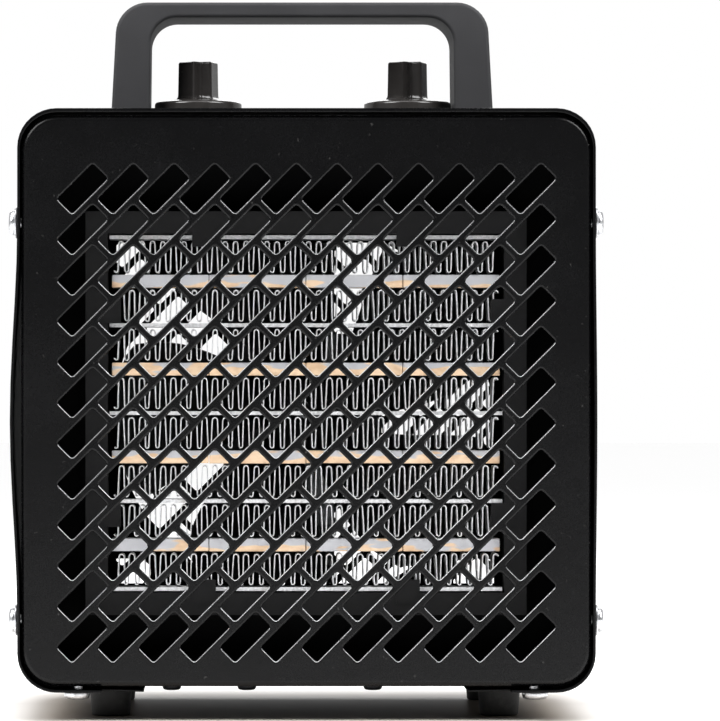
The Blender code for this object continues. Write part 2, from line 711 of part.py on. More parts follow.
def make_screws():
    washer = (WASHER_RADIUS, WASHER_THICKNESS)
    side_head = (SCREW_HEAD_RADIUS, SCREW_HEAD_HEIGHT)
    for name, sign, place in side_screw_places():
        headed_screw("side_screw_" + name, place, (sign, 0, 0), side_head, washer=washer)
    pan_head = (PAN_HEAD_RADIUS, PAN_HEAD_HEIGHT)
    for name, place in flange_screw_places():
        headed_screw("flange_screw_" + name, place, (0, 0, -1), pan_head)
    small_head = (SMALL_HEAD_RADIUS, SMALL_HEAD_HEIGHT)
    for number, place in enumerate(base_screw_places(), 1):
        name = f"base_screw_{number}"
        headed_screw(name, place, (0, 0, -1), small_head, BASE_SCREW_LENGTH, dark=True)
    for name, place in handle_screw_places():
        under = place + Vector((0, 0, GAP))
        headed_screw("handle_screw_" + name, under, (0, 0, -1), small_head, HANDLE_SCREW_LENGTH)


# ---- The handle and the controls ---------------------------------------------------------------


def rounded_corner(before, corner, after, radius, steps=ROUND_STEPS):
    """Points of the arc that rounds a corner between two straight edges."""
    corner = Vector(corner)
    to_before = (Vector(before) - corner).normalized()
    to_after = (Vector(after) - corner).normalized()
    half = to_before.angle(to_after) / 2
    centre = corner + (to_before + to_after).normalized() * (radius / math.sin(half))
    start = corner + to_before * (radius / math.tan(half)) - centre
    end = corner + to_after * (radius / math.tan(half)) - centre
    sweep = start.angle_signed(end)
    turns = [Matrix.Rotation(-sweep * i / steps, 2) for i in range(steps + 1)]
    return [tuple(centre + turn @ start) for turn in turns]


def handle_outline():
    """The handle's front view, about its own middle and with its base at height 0."""
    outer, inner = HANDLE_SPAN / 2, HANDLE_INNER_HALF
    top, under = HANDLE_RISE - GAP, HANDLE_RISE - GAP - HANDLE_BAR
    outer_top, inner_top = outer - HANDLE_TAPER, inner - HANDLE_LEG_TAPER
    outer_corner = (outer, 0), (outer_top, top), (-outer_top, top)
    inner_corner = (-inner, 0), (-inner_top, under), (inner_top, under)
    right_outer = rounded_corner(*outer_corner, HANDLE_OUTER_RADIUS)
    left_inner = rounded_corner(*inner_corner, HANDLE_INNER_RADIUS)
    left_outer = [(-x, z) for x, z in reversed(right_outer)]
    right_inner = [(-x, z) for x, z in reversed(left_inner)]
    feet_outer = [(-outer, 0.0), (-inner, 0.0)]
    feet_inner = [(inner, 0.0), (outer, 0.0)]
    return right_outer + left_outer + feet_outer + left_inner + right_inner + feet_inner


def make_handle():
    base = SHELL_TOP + GAP
    place = Matrix.Translation((HANDLE_SHIFT, 0, base)) @ upright(MIDDLE)
    drawn = flat_piece("handle", [handle_outline()], HANDLE_DEPTH, place)
    bm = bmesh.new()
    bm.from_mesh(drawn.data)
    bmesh.ops.dissolve_limit(bm, angle_limit=math.radians(0.5), verts=bm.verts, edges=bm.edges)
    half = HANDLE_DEPTH / 2
    rim = [
        e
        for e in bm.edges
        if all(abs(abs(v.co.z) - half) < WELD for v in e.verts)
        and max(v.co.y for v in e.verts) > WELD
        and abs(e.verts[0].co.z - e.verts[1].co.z) < WELD
    ]
    bmesh.ops.bevel(bm, geom=rim, offset=HANDLE_EDGE, segments=2, profile=0.5, affect="EDGES")
    bm.to_mesh(drawn.data)
    bm.free()
    reach = HANDLE_SCREW_LENGTH + 2 * GAP
    rise = Vector((0, 0, reach))
    drill(drawn, [(place, place + rise) for _, place in handle_screw_places()], SCREW_RADIUS + GAP)
    return as_part(drawn, "grey_moulding")


def grip_outline():
    """The grip seen from above: lobes with flat ends and hollow flutes between them."""
    corner = math.hypot(GRIP_REACH, GRIP_LOBE_WIDTH / 2)
    half_lobe = math.degrees(math.atan2(GRIP_LOBE_WIDTH / 2, GRIP_REACH))
    pitch = 360 / GRIP_LOBES
    flute_steps = 4
    points = []
    for lobe in range(GRIP_LOBES):
        start = GRIP_TURN + lobe * pitch
        stations = [(start - half_lobe, corner), (start + half_lobe, corner)]
        flute = pitch - 2 * half_lobe
        for i in range(1, flute_steps):
            share = i / flute_steps
            dip = (corner - GRIP_FLUTE_RADIUS) * math.sin(math.pi * share)
            stations.append((start + half_lobe + flute * share, corner - dip))
        points += [
            (r * math.cos(math.radians(a)), r * math.sin(math.radians(a))) for a, r in stations
        ]
    return points


def make_knob(name, x):
    """A knob about its own axis, with its origin on that axis at its underside."""
    place = Matrix.Translation((x, MIDDLE, KNOB_BASE))
    edge, inner = KNOB_SKIRT_RADIUS, KNOB_SKIRT_RADIUS - KNOB_WALL
    ceiling = KNOB_SKIRT_EDGE - 2 * KNOB_WALL
    profile = [
        (0.0, KNOB_SKIRT_DOME),
        (edge * 0.55, KNOB_SKIRT_DOME - KNOB_SKIRT_CROWN),
        (edge - KNOB_SKIRT_EASE[0], KNOB_SKIRT_EDGE),
        (edge, KNOB_SKIRT_EDGE - KNOB_SKIRT_EASE[1]),
        (edge, 0.0),
        (inner, 0.0),
        (inner, ceiling),
        (KNOB_HUB_RADIUS, ceiling),
        (KNOB_HUB_RADIUS, 0.0),
        (0.0, 0.0),
    ]
    knob = turned_piece(name, profile, place, KNOB_SIDES)
    sunk = KNOB_SKIRT_DOME - GRIP_ROOT
    grip_height = KNOB_HEIGHT - sunk
    raised = place @ Matrix.Translation((0, 0, sunk + grip_height / 2))
    boolean(knob, flat_piece(name + "_grip", [grip_outline()], grip_height, raised), "UNION")
    mouth = Vector((x, MIDDLE, KNOB_BASE - CUT_MARGIN))
    drill(knob, [(mouth, Vector((x, MIDDLE, spindle_top() + GAP)))], SPINDLE_RADIUS + GAP)
    as_part(knob, "black_gloss_moulding")


def spindle_top():
    return KNOB_BASE + SPINDLE_ENGAGEMENT


def spindle_end():
    return CONTROL_TOP - SPINDLE_DEPTH


def make_spindle(name, x):
    bm = bmesh.new()
    add_rod(bm, (0, 0, 0), (0, 0, spindle_top() - spindle_end()), SPINDLE_RADIUS)
    spindle = object_from(bm, name)
    spindle.location = (x, MIDDLE, spindle_end())
    as_part(spindle, "bright_steel")


def make_control(name, x, size):
    """The thermostat or the switch: a block under the cabinet's top, with a collar."""
    width, depth, height = size
    bm = bmesh.new()
    low = (x - width / 2, MIDDLE - depth / 2, CONTROL_TOP - height)
    add_box(bm, low, (x + width / 2, MIDDLE + depth / 2, CONTROL_TOP))
    bmesh.ops.bevel(bm, geom=bm.edges[:], offset=CONTROL_EDGE, segments=1, affect="EDGES")
    body = object_from(bm, name)
    bm = bmesh.new()
    start, end = (x, MIDDLE, CONTROL_TOP - CONTROL_EDGE), (x, MIDDLE, SHELL_TOP + GAP)
    add_rod(bm, start, end, COLLAR_RADIUS, ROUND_SIDES)
    boolean(body, object_from(bm, name + "_collar"), "UNION")
    mouth = Vector((x, MIDDLE, SHELL_TOP + CUT_MARGIN))
    drill(body, [(Vector((x, MIDDLE, spindle_end() - 2 * GAP)), mouth)], SPINDLE_RADIUS + GAP)
    as_part(body, "black_moulding")


def make_controls():
    controls = (("thermostat", -KNOB_X, THERMOSTAT_SIZE), ("switch", KNOB_X, SWITCH_SIZE))
    for name, x, size in controls:
        make_knob(name + "_knob", x)
        make_spindle(name + "_spindle", x)
        make_control(name + "_body", x, size)


# ---- The heating element -----------------------------------------------------------------------


def make_block(name, low, high, finish):
    bm = bmesh.new()
    add_box(bm, low, high)
    as_part(object_from(bm, name), finish)


def make_layer(name, z, thickness, finish, inset=0.0):
    """One flat layer of the core, centred at height z."""
    half = CORE_LENGTH / 2 - inset
    low = (-half, CORE_Y - CORE_DEPTH / 2 + inset, z - thickness / 2)
    make_block(name, low, (half, CORE_Y + CORE_DEPTH / 2 - inset, z + thickness / 2), finish)


def make_fin_row(name, z):
    """A strip folded to and fro between two layers, with its folds a little short of both."""
    folds = 2 * round(CORE_LENGTH / FIN_PITCH)
    step = CORE_LENGTH / folds
    tip = FIN_SHEET / 2 / math.sin(math.atan2(step, FIN_HEIGHT))
    half = FIN_HEIGHT / 2 - tip
    outline = []
    for i in range(folds):
        x = (i + 0.5) * step - CORE_LENGTH / 2
        outline.append((x, 0.0, z + (half if i % 2 else -half)))
    ends = (CORE_Y - CORE_DEPTH / 2, CORE_Y + CORE_DEPTH / 2)
    strip = folded_sheet(name, outline, *ends, (0, 1, 0))
    solidify(strip, FIN_SHEET, 0.0)
    as_part(strip, "aluminium")


def make_core():
    middle = (BAR_COUNT - 1) / 2
    for i in range(BAR_COUNT):
        z = AXIS_Z + (i - middle) * BAR_PITCH
        make_layer(f"ceramic_bar_{i + 1}", z, BAR_HEIGHT, "ceramic", BAR_INSET)
        offset = BAR_HEIGHT / 2 + GAP + FIN_HEIGHT / 2
        make_fin_row(f"fin_row_{2 * i + 1}", z - offset)
        make_fin_row(f"fin_row_{2 * i + 2}", z + offset)
    for i in range(1, BAR_COUNT):
        z = AXIS_Z + (i - BAR_COUNT / 2) * BAR_PITCH
        make_layer(f"middle_plate_{i}", z, PLATE_THICKNESS, "aluminium")
    reach = BAR_COUNT * BAR_PITCH / 2
    make_layer("bottom_plate", AXIS_Z - reach, PLATE_THICKNESS, "aluminium")
    make_layer("top_plate", AXIS_Z + reach, PLATE_THICKNESS, "aluminium")


def make_element_frame():
    half_x = CORE_LENGTH / 2 + FRAME_CLEARANCE
    half_z = CORE_HEIGHT / 2 + FRAME_CLEARANCE
    window = rectangle(half_x, AXIS_Z - half_z, AXIS_Z + half_z)
    edge_z = half_z + FRAME_WALL
    edge = rectangle(half_x + FRAME_WALL, AXIS_Z - edge_z, AXIS_Z + edge_z)
    place = upright((FRAME_FRONT + FRAME_BACK) / 2)
    frame = flat_piece("element_frame", [edge, window], FRAME_BACK - FRAME_FRONT, place)
    bm = bmesh.new()
    low_y, high_y = FRAME_FRONT - GAP, FRAME_FRONT - GAP + TAB_THICKNESS
    root, tab = FRAME_WALL / 2, TAB_WIDTH / 2
    for sign in (-1, 1):
        for offset in (-TAB_OFFSET, TAB_OFFSET):
            near, far = offset - tab, offset + tab
            x1, x2 = sorted((sign * (half_x - TAB_REACH), sign * (half_x + root)))
            add_box(bm, (x1, low_y, AXIS_Z + near), (x2, high_y, AXIS_Z + far))
            z1, z2 = sorted((sign * (half_z - TAB_REACH), sign * (half_z + root)))
            add_box(bm, (near, low_y, AXIS_Z + z1), (far, high_y, AXIS_Z + z2))
    boolean(frame, object_from(bm, "tabs"), "UNION")
    as_part(frame, "black_moulding")


# ---- The air path ------------------------------------------------------------------------------


def make_baffle():
    """The wall that carries the element, with a flange along the base plate."""
    half = INNER_HALF_WIDTH - BAFFLE_CLEARANCE
    radius = SHELL_RADIUS - SHEET - BAFFLE_CLEARANCE
    low, flange_low = BASE_TOP + GAP + SHEET / 2, BASE_TOP + GAP
    edge = rounded_rectangle(half, low, INNER_TOP - BAFFLE_CLEARANCE, radius)
    window_z = CORE_HEIGHT / 2 - WINDOW_LIP
    window = rectangle(CORE_LENGTH / 2 - WINDOW_LIP, AXIS_Z - window_z, AXIS_Z + window_z)
    middle = (BAFFLE_FRONT + BAFFLE_BACK) / 2
    wall = flat_piece("baffle_plate", [edge, window], SHEET, upright(middle))
    bm = bmesh.new()
    reach, far = BAFFLE_FLANGE_REACH, BAFFLE_BACK + BAFFLE_FLANGE_LENGTH
    add_box(bm, (-reach, middle, flange_low), (reach, far, flange_low + SHEET))
    boolean(wall, object_from(bm, "baffle_flange"), "UNION")
    drill(wall, [through(place, (0, 0, 1)) for place in base_screw_places()], SCREW_RADIUS + GAP)
    as_part(wall, "black_enamel")


def make_duct():
    low = (-DUCT_HALF_X, DUCT_FRONT, AXIS_Z - DUCT_HALF_Z)
    high = (DUCT_HALF_X, DUCT_BACK, AXIS_Z + DUCT_HALF_Z)
    duct = pressed_pan("air_duct", low, high, 1, DUCT_RADIUS, 0.0)
    half_z = DUCT_HALF_Z - DUCT_LIP
    edge = rounded_rectangle(DUCT_HALF_X - DUCT_LIP, AXIS_Z - half_z, AXIS_Z + half_z, DUCT_RADIUS)
    opening = flat_piece("duct_opening", [edge], 2 * CUT_MARGIN, upright(DUCT_BACK))
    boolean(duct, opening, "DIFFERENCE")
    as_part(duct, "black_enamel")


def make_blades():
    """Twisted blades, each a grid bent round the axis: its chord rises along Y as it goes round."""
    bm = bmesh.new()
    root, tip = HUB_RADIUS - BLADE_ROOT, FAN_RADIUS
    for blade in range(FAN_BLADES):
        grid = bmesh.ops.create_grid(bm, x_segments=3, y_segments=3, size=1.0)["verts"]
        for vert in grid:
            out, across = (vert.co.x + 1) / 2, vert.co.y
            radius = root + (tip - root) * out
            first = BLADE_TURN + 360 * blade / FAN_BLADES
            angle = math.radians(first + BLADE_SWEEP * out + BLADE_HALF_ANGLE * across)
            rise = across * (FAN_AXIAL / 2 - BLADE_THICKNESS)
            vert.co = (radius * math.cos(angle), FAN_Y + rise, AXIS_Z + radius * math.sin(angle))
    blades = object_from(bm, "blades")
    solidify(blades, BLADE_THICKNESS, 0.0)
    return blades


def make_fan():
    profile = [
        (0.0, HUB_LENGTH),
        (HUB_RADIUS * 0.7, HUB_LENGTH),
        (HUB_RADIUS, HUB_LENGTH * 0.85),
        (HUB_RADIUS, 0.0),
        (0.0, 0.0),
    ]
    back = Vector((0, HUB_FRONT + HUB_LENGTH, AXIS_Z))
    fan = turned_piece("fan_impeller", profile, pointing(back, (0, -1, 0)), ROUND_SIDES)
    boolean(fan, make_blades(), "UNION")
    drill(fan, [through(back, (0, 1, 0), 2 * HUB_LENGTH)], SHAFT_RADIUS + GAP)
    as_part(fan, "black_moulding")


def make_shaft():
    bm = bmesh.new()
    reach = STACK_FRONT + STACK_DEPTH - HUB_FRONT
    add_rod(bm, (0, 0, 0), (0, reach, 0), SHAFT_RADIUS)
    shaft = object_from(bm, "motor_shaft")
    shaft.location = (0, HUB_FRONT - SHAFT_LEAD, AXIS_Z)
    as_part(shaft, "bright_steel")


def make_motor():
    half = STACK_SIZE / 2
    edge = rounded_rectangle(half, AXIS_Z - half, AXIS_Z + half, STACK_CORNER, 2)
    motor = flat_piece("motor_body", [edge], STACK_DEPTH, upright(STACK_FRONT + STACK_DEPTH / 2))
    bm = bmesh.new()
    add_rod(bm, (0, MOTOR_FRONT, AXIS_Z), (0, MOTOR_BACK, AXIS_Z), BELL_RADIUS, ROUND_SIDES)
    boolean(motor, object_from(bm, "bells"), "UNION")
    mouth = Vector((0, MOTOR_FRONT - CUT_MARGIN, AXIS_Z))
    bottom = Vector((0, STACK_FRONT + STACK_DEPTH + GAP, AXIS_Z))
    drill(motor, [(mouth, bottom)], SHAFT_RADIUS + SHAFT_CLEARANCE)
    as_part(motor, "lamination_steel")


def make_strap():
    """The motor's carrier: an upright strap that stands off the back of the duct on two feet."""
    foot = DUCT_HALF_Z - STRAP_INSET
    near = DUCT_BACK + GAP + STRAP_SHEET
    far = STRAP_FRONT + STRAP_SHEET
    half = [(STRAP_FLAT, far), (foot - STRAP_FOOT, near), (foot, near)]
    path = [(-rise, y) for rise, y in reversed(half)] + half
    outline = [(0.0, y, AXIS_Z + rise) for rise, y in path]
    strap = folded_sheet("motor_bracket", outline, -STRAP_WIDTH / 2, STRAP_WIDTH / 2, (1, 0, 0))
    solidify(strap, STRAP_SHEET)
    drill(strap, [through(Vector((0, STRAP_FRONT, AXIS_Z)), (0, 1, 0))], STRAP_HOLE_RADIUS)
    as_part(strap, "galvanised_steel")


def make_thermal_cutout():
    profile = [
        (0.0, CUTOUT_HEIGHT),
        (CUTOUT_RADIUS - CUTOUT_EDGE, CUTOUT_HEIGHT),
        (CUTOUT_RADIUS, CUTOUT_HEIGHT - CUTOUT_EDGE),
        (CUTOUT_RADIUS, CUTOUT_FLANGE),
        (CUTOUT_FLANGE_RADIUS, CUTOUT_FLANGE),
        (CUTOUT_FLANGE_RADIUS, 0.0),
        (0.0, 0.0),
    ]
    middle = (DUCT_FRONT + DUCT_BACK) / 2
    place = Matrix.Translation((CUTOUT_X, middle, AXIS_Z + DUCT_HALF_Z + GAP))
    as_part(turned_piece("thermal_cutout", profile, place), "black_moulding")


def make_terminal_block():
    width, depth, height = BLOCK_SIZE
    y = REAR - BLOCK_END_INSET
    top = BASE_TOP + GAP + height
    bm = bmesh.new()
    low = (BLOCK_X - width / 2, y - depth / 2, top - height)
    add_box(bm, low, (BLOCK_X + width / 2, y + depth / 2, top))
    block = object_from(bm, "terminal_block")
    wells = []
    for i in range(BLOCK_WELLS):
        x = BLOCK_X + (i - (BLOCK_WELLS - 1) / 2) * BLOCK_WELL_PITCH
        wells.append((Vector((x, y, top - BLOCK_WELL_DEPTH)), Vector((x, y, top + CUT_MARGIN))))
    drill(block, wells, BLOCK_WELL_RADIUS)
    as_part(block, "glazed_white")


def make_bushing():
    """The lined hole that a supply cord would pass through, with no cord in it."""
    reach = BUSHING_REACH + PANEL_RECESS
    inside = -SHEET - GAP
    profile = [
        (BUSHING_BORE, reach),
        (BUSHING_NECK - BUSHING_TAPER, reach),
        (BUSHING_NECK, BUSHING_COLLAR_THICKNESS),
        (BUSHING_COLLAR, BUSHING_COLLAR_THICKNESS),
        (BUSHING_COLLAR, GAP),
        (BUSHING_NECK, GAP),
        (BUSHING_NECK, inside),
        (BUSHING_NECK + BUSHING_CATCH, inside),
        (BUSHING_NECK, -BUSHING_TAIL),
        (BUSHING_BORE, -BUSHING_TAIL),
    ]
    bushing = turned_piece("cord_bushing", profile, pointing(bushing_place(), (0, 1, 0)), ring=True)
    as_part(bushing, "black_moulding")


clear_scene()
heater = new_collection("ceramic_space_heater")
cutters = new_collection("cutters")

make_shell()
make_front_panel()
make_rear_panel()
make_base_plate()
make_feet()
make_screws()
make_handle()
make_controls()
make_core()
make_element_frame()
make_baffle()
make_duct()
make_fan()
make_shaft()
make_motor()
make_strap()
make_thermal_cutout()
make_terminal_block()
make_bushing()
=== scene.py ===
"""Ceramic space heater: the pieces and finishes that show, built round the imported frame.

Lengths are in metres, +Z is up and the front faces -Y.
"""

import math
import random

import bmesh
import bpy
from bpy.props import FloatProperty, FloatVectorProperty, IntProperty, PointerProperty
from mathutils import Matrix, Vector


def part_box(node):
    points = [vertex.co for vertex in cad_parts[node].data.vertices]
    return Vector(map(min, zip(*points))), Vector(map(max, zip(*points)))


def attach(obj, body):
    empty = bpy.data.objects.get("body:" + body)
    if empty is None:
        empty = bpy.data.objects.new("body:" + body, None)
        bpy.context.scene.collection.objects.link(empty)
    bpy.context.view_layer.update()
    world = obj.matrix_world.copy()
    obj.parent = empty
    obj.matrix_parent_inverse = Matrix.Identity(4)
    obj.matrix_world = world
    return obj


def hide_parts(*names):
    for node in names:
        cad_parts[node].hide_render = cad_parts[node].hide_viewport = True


bl_info = {
    "name": "Ceramic Space Heater",
    "version": (1, 0, 0),
    "blender": (4, 5, 0),
    "location": "3D View > Sidebar > Heater",
    "description": "Models the pieces and finishes of a slotted ceramic heater round its frame",
    "category": "Add Mesh",
}

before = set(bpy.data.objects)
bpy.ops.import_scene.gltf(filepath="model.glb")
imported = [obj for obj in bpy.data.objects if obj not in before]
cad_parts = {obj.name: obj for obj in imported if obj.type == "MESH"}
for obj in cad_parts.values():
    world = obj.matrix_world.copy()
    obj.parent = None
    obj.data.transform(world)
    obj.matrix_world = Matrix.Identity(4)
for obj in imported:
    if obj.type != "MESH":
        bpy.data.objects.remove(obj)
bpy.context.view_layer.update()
BOX = {name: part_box(name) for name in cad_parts}

MM = 0.001
NEAR = 0.00002  # two places closer than this are the same
SMOOTH = math.radians(40)

SHELL_LOW, SHELL_HIGH = BOX["outer_shell"]
FRONT, REAR = SHELL_LOW.y, SHELL_HIGH.y
CORE_LOW, CORE_HIGH = BOX["bottom_plate"][0], BOX["top_plate"][1]
AXIS_Z = (CORE_LOW.z + CORE_HIGH.z) / 2


RIM_RISE = 0.3  # a slot's rim gets the painted highlight where its normal rises this much
RIM_FACING = 0.70  # and where its normal is turned this far from the panel's
COLLAR_MARGIN = 0.0012  # plain metal kept round the cord gland
CORNER_OPENINGS = ((-0.0620, 0.0540), (-0.0610, -0.0570), (0.0600, -0.0570))  # x and z from the fan
FOLDS = 74  # half turns of a fin strip
FOLD_POINTS = 5  # points round one half turn
BLADES = 5
STONES = 4  # heating stones in a row


# ---- What a user can change ----


def length(name, description, default):
    return FloatProperty(
        name=name, description=description, default=default, min=0.0, precision=5, unit="LENGTH"
    )


def colour(name, description, default):
    return FloatVectorProperty(
        name=name, description=description, default=default, min=0.0, max=1.0, subtype="COLOR"
    )


def angle_of(name, description, degrees):
    return FloatProperty(
        name=name, description=description, default=math.radians(degrees), subtype="ANGLE"
    )


class HeaterSizes(bpy.types.PropertyGroup):
    shell_width: length("Cabinet width", "Width of the cabinet between its side screws", 0.195)
    shell_radius: length("Cabinet bend", "Outer radius of the cabinet's long bends", 0.0132)
    sheet: length("Sheet", "Thickness of the folded steel", 0.0008)
    bow_left: length("Left bow", "How far the left wall springs out", 0.0025)
    bow_right: length("Right bow", "How far the right wall springs out", 0.0005)
    flange_reach: length("Flange", "How far each bottom flange turns in", 0.0425)
    notch: length("Flange notch", "Width of the cut in a flange's end corners", 0.0142)
    notch_depth: length("Notch depth", "Depth of the cut in a flange's end corners", 0.012)
    lip: length("Front lip", "How much the front and rear edges thicken over the top", 0.0006)
    panel_radius: length("Panel corner", "Radius of the panels' corners", 0.012)
    panel_bend: length("Panel bend", "Radius of the bend round each panel's face", 0.0020)
    slot_count: IntProperty(name="Slots", description="Slots in a row", default=12, min=1)
    slot_pitch: length("Slot pitch", "Distance from slot to slot", 0.01374)
    slot_length: length("Slot length", "Length of a slot", 0.01704)
    slot_width: length("Slot width", "Width of a slot", 0.00727)
    slot_corner: length("Slot corner", "Radius of a slot's corners", 0.0010)
    slot_edge: length("Slot edge", "How far the punch rolls a slot's rim over", 0.00070)
    slot_angle: angle_of("Slot angle", "Rise of the slots to the right", 45.0)
    spindle_gap: length("Spindle gap", "Air between a spindle and its hole in the top", 0.0005)
    spindle_hole: length("Spindle hole", "How deep the hole for a spindle is cut, each way", 0.0040)
    duct_radius: length("Duct corner", "Radius of the duct's corners", 0.0060)
    throat_radius: length("Throat", "Radius of the round opening behind the fan", 0.0658)
    gland_hole: length("Gland hole", "Radius of the hole for the cord gland", 0.0063)
    corner_opening: length("Corner opening", "Width of the openings in the duct's corners", 0.0150)
    handle_leg: length("Handle leg", "Width of a handle leg at its base", 0.01345)
    handle_bar: length("Handle bar", "Thickness of the handle's bar", 0.0053)
    handle_taper: length("Handle taper", "How far each leg leans in", 0.0022)
    handle_corner: length("Handle corner", "Outer radius of the handle's corners", 0.0105)
    opening_taper: length("Opening taper", "How far the opening's sides lean in", 0.0006)
    opening_corner: length("Opening corner", "Radius of the opening's corners", 0.0090)
    handle_edge: length("Handle edge", "Rounding of the handle's long edges", 0.0013)
    grip_turn: angle_of("Grip turn", "Direction of a lobe of the grip", -137.0)
    grip_reach: length("Grip reach", "From a knob's axis to the end of a lobe", 0.0062)
    grip_lobe: length("Grip lobe", "Width of a lobe of the grip", 0.0078)
    grip_flute: length("Grip flute", "From a knob's axis to the bottom of a flute", 0.0043)
    fin_sheet: length("Fin sheet", "Thickness of the folded fins", 0.00038)
    fin_bend: length("Fin bend", "Mean radius of the folds", 0.00072)
    stone_gap: length("Stone gap", "Gap between two heating stones", 0.00025)


class HeaterColours(bpy.types.PropertyGroup):
    coating: colour("Coating", "Black powder coat of the cabinet", (0.0016, 0.0016, 0.0018))
    coating_worn: colour("Worn coating", "The coat where it is rubbed", (0.012, 0.012, 0.013))
    handle: colour("Handle", "Dark grey moulding of the handle", (0.028, 0.028, 0.030))
    knob: colour("Knobs", "Black glossy moulding", (0.024, 0.022, 0.021))
    holder: colour("Holders", "Matt black heat-proof moulding", (0.0035, 0.0035, 0.0038))
    fins: colour("Fins", "Aluminium of the fins and plates", (0.82, 0.825, 0.84))
    zinc: colour("Zinc", "Plating of the screws", (0.74, 0.75, 0.77))
    stone: colour("Stone", "Pale tan of the heating stones", (0.80, 0.60, 0.41))
    stone_dark: colour("Stone shade", "Darker tan of the heating stones", (0.66, 0.45, 0.28))
    silvering: colour("Silvering", "Grey contact layer smeared on the stones", (0.47, 0.51, 0.57))
    floor: colour("Floor", "The pale floor of the stage", (0.70, 0.70, 0.70))


def sizes():
    return bpy.context.scene.heater_sizes


def colours():
    return bpy.context.scene.heater_colours


# ---- Modelling by hand ----


def only(obj):
    """Selects this object alone and makes it the active one."""
    if bpy.context.mode != "OBJECT":
        bpy.ops.object.mode_set(mode="OBJECT")
    bpy.ops.object.select_all(action="DESELECT")
    if obj is not None:
        obj.select_set(True)
        bpy.context.view_layer.objects.active = obj


def named(name):
    obj = bpy.context.object
    obj.name = obj.data.name = name
    return obj


def settle(obj):
    """Puts the object's place into its mesh."""
    only(obj)
    bpy.ops.object.transform_apply(location=True, rotation=True, scale=True)
    return obj


def add_block(name, low, high):
    low, high = Vector(low), Vector(high)
    only(None)
    bpy.ops.mesh.primitive_cube_add(size=1.0, location=(low + high) / 2)
    obj = named(name)
    obj.scale = high - low
    return settle(obj)


def centre_of(node):
    low, high = BOX[node]
    return (low + high) / 2


def edit(obj):
    only(obj)
    bpy.ops.object.mode_set(mode="EDIT")


def done():
    bpy.ops.object.mode_set(mode="OBJECT")


def select(obj, kind, test):
    """In edit mode, selects the vertices, edges or faces that pass a test."""
    bpy.ops.mesh.select_mode(type=kind)
    bpy.ops.mesh.select_all(action="DESELECT")
    shape = bmesh.from_edit_mesh(obj.data)
    for item in {"VERT": shape.verts, "EDGE": shape.edges, "FACE": shape.faces}[kind]:
        if test(item):
            item.select_set(True)
    shape.select_flush_mode()
    bmesh.update_edit_mesh(obj.data)


def move_points(obj, rule, chosen=None):
    """In edit mode, moves each point to where the rule says."""
    shape = bmesh.from_edit_mesh(obj.data)
    for vert in shape.verts:
        if chosen is None or chosen(vert):
            vert.co = rule(vert.co)
    bmesh.update_edit_mesh(obj.data)


def cut(obj, position, direction, test):
    """Adds a line of edges where a plane crosses the chosen faces."""
    select(obj, "FACE", test)
    bpy.ops.mesh.bisect(plane_co=position, plane_no=direction)


def remove_faces(obj, test):
    select(obj, "FACE", test)
    bpy.ops.mesh.delete(type="FACE")


def round_edges(obj, test, radius, segments):
    select(obj, "EDGE", test)
    bpy.ops.mesh.bevel(offset=radius, segments=segments, profile=0.5, affect="EDGES")


def runs_along(axis):
    """A test for edges that run along an axis."""

    def test(edge):
        way = edge.verts[1].co - edge.verts[0].co
        return abs(way[axis]) > way.length * 0.999

    return test


def rounded_block(name, low, high, radius, segments):
    """A block with its edges along Y rounded."""
    obj = add_block(name, low, high)
    edit(obj)
    round_edges(obj, runs_along(1), radius, segments)
    done()
    return obj


def modify(obj, kind, **settings):
    """Adds a modifier and applies it."""
    only(obj)
    modifier = obj.modifiers.new(kind.lower(), kind)
    for key, value in settings.items():
        setattr(modifier, key, value)
    bpy.ops.object.modifier_apply(modifier=modifier.name)
    return obj


def carve(obj, cutter, operation="DIFFERENCE"):
    modify(obj, "BOOLEAN", operation=operation, solver="EXACT", object=cutter)
    bpy.data.objects.remove(cutter)


def ease(obj, width, segments=2, angle=50.0):
    """Rounds every edge sharper than an angle."""
    modify(
        obj,
        "BEVEL",
        width=width,
        segments=segments,
        limit_method="ANGLE",
        angle_limit=math.radians(angle),
        use_clamp_overlap=True,
    )


def smooth(obj, angle=SMOOTH, weighted=False):
    only(obj)
    bpy.ops.object.shade_smooth_by_angle(angle=angle)
    if weighted:
        modify(obj, "WEIGHTED_NORMAL", keep_sharp=True)


def copy_of(obj, name, place):
    """A copy with its own mesh, moved by a matrix."""
    only(obj)
    bpy.ops.object.duplicate(linked=False)
    twin = named(name)
    twin.matrix_world = place
    return settle(twin)


def join(name, objs):
    only(objs[0])
    for obj in objs[1:]:
        obj.select_set(True)
    bpy.ops.object.join()
    return named(name)


def pointing(position, direction):
    """The place of a body made about Z, turned to stand along a direction."""
    turn = Vector(direction).to_track_quat("Z", "Y").to_matrix().to_4x4()
    return Matrix.Translation(position) @ turn


def set_ring(obj, station):
    radius_rule, height_rule = station

    def rule(point):
        angle = math.atan2(point.y, point.x)
        radius = radius_rule(angle) if callable(radius_rule) else radius_rule
        height = height_rule(radius) if callable(height_rule) else height_rule
        return Vector((radius * math.cos(angle), radius * math.sin(angle), height))

    move_points(obj, rule, lambda vert: vert.select)


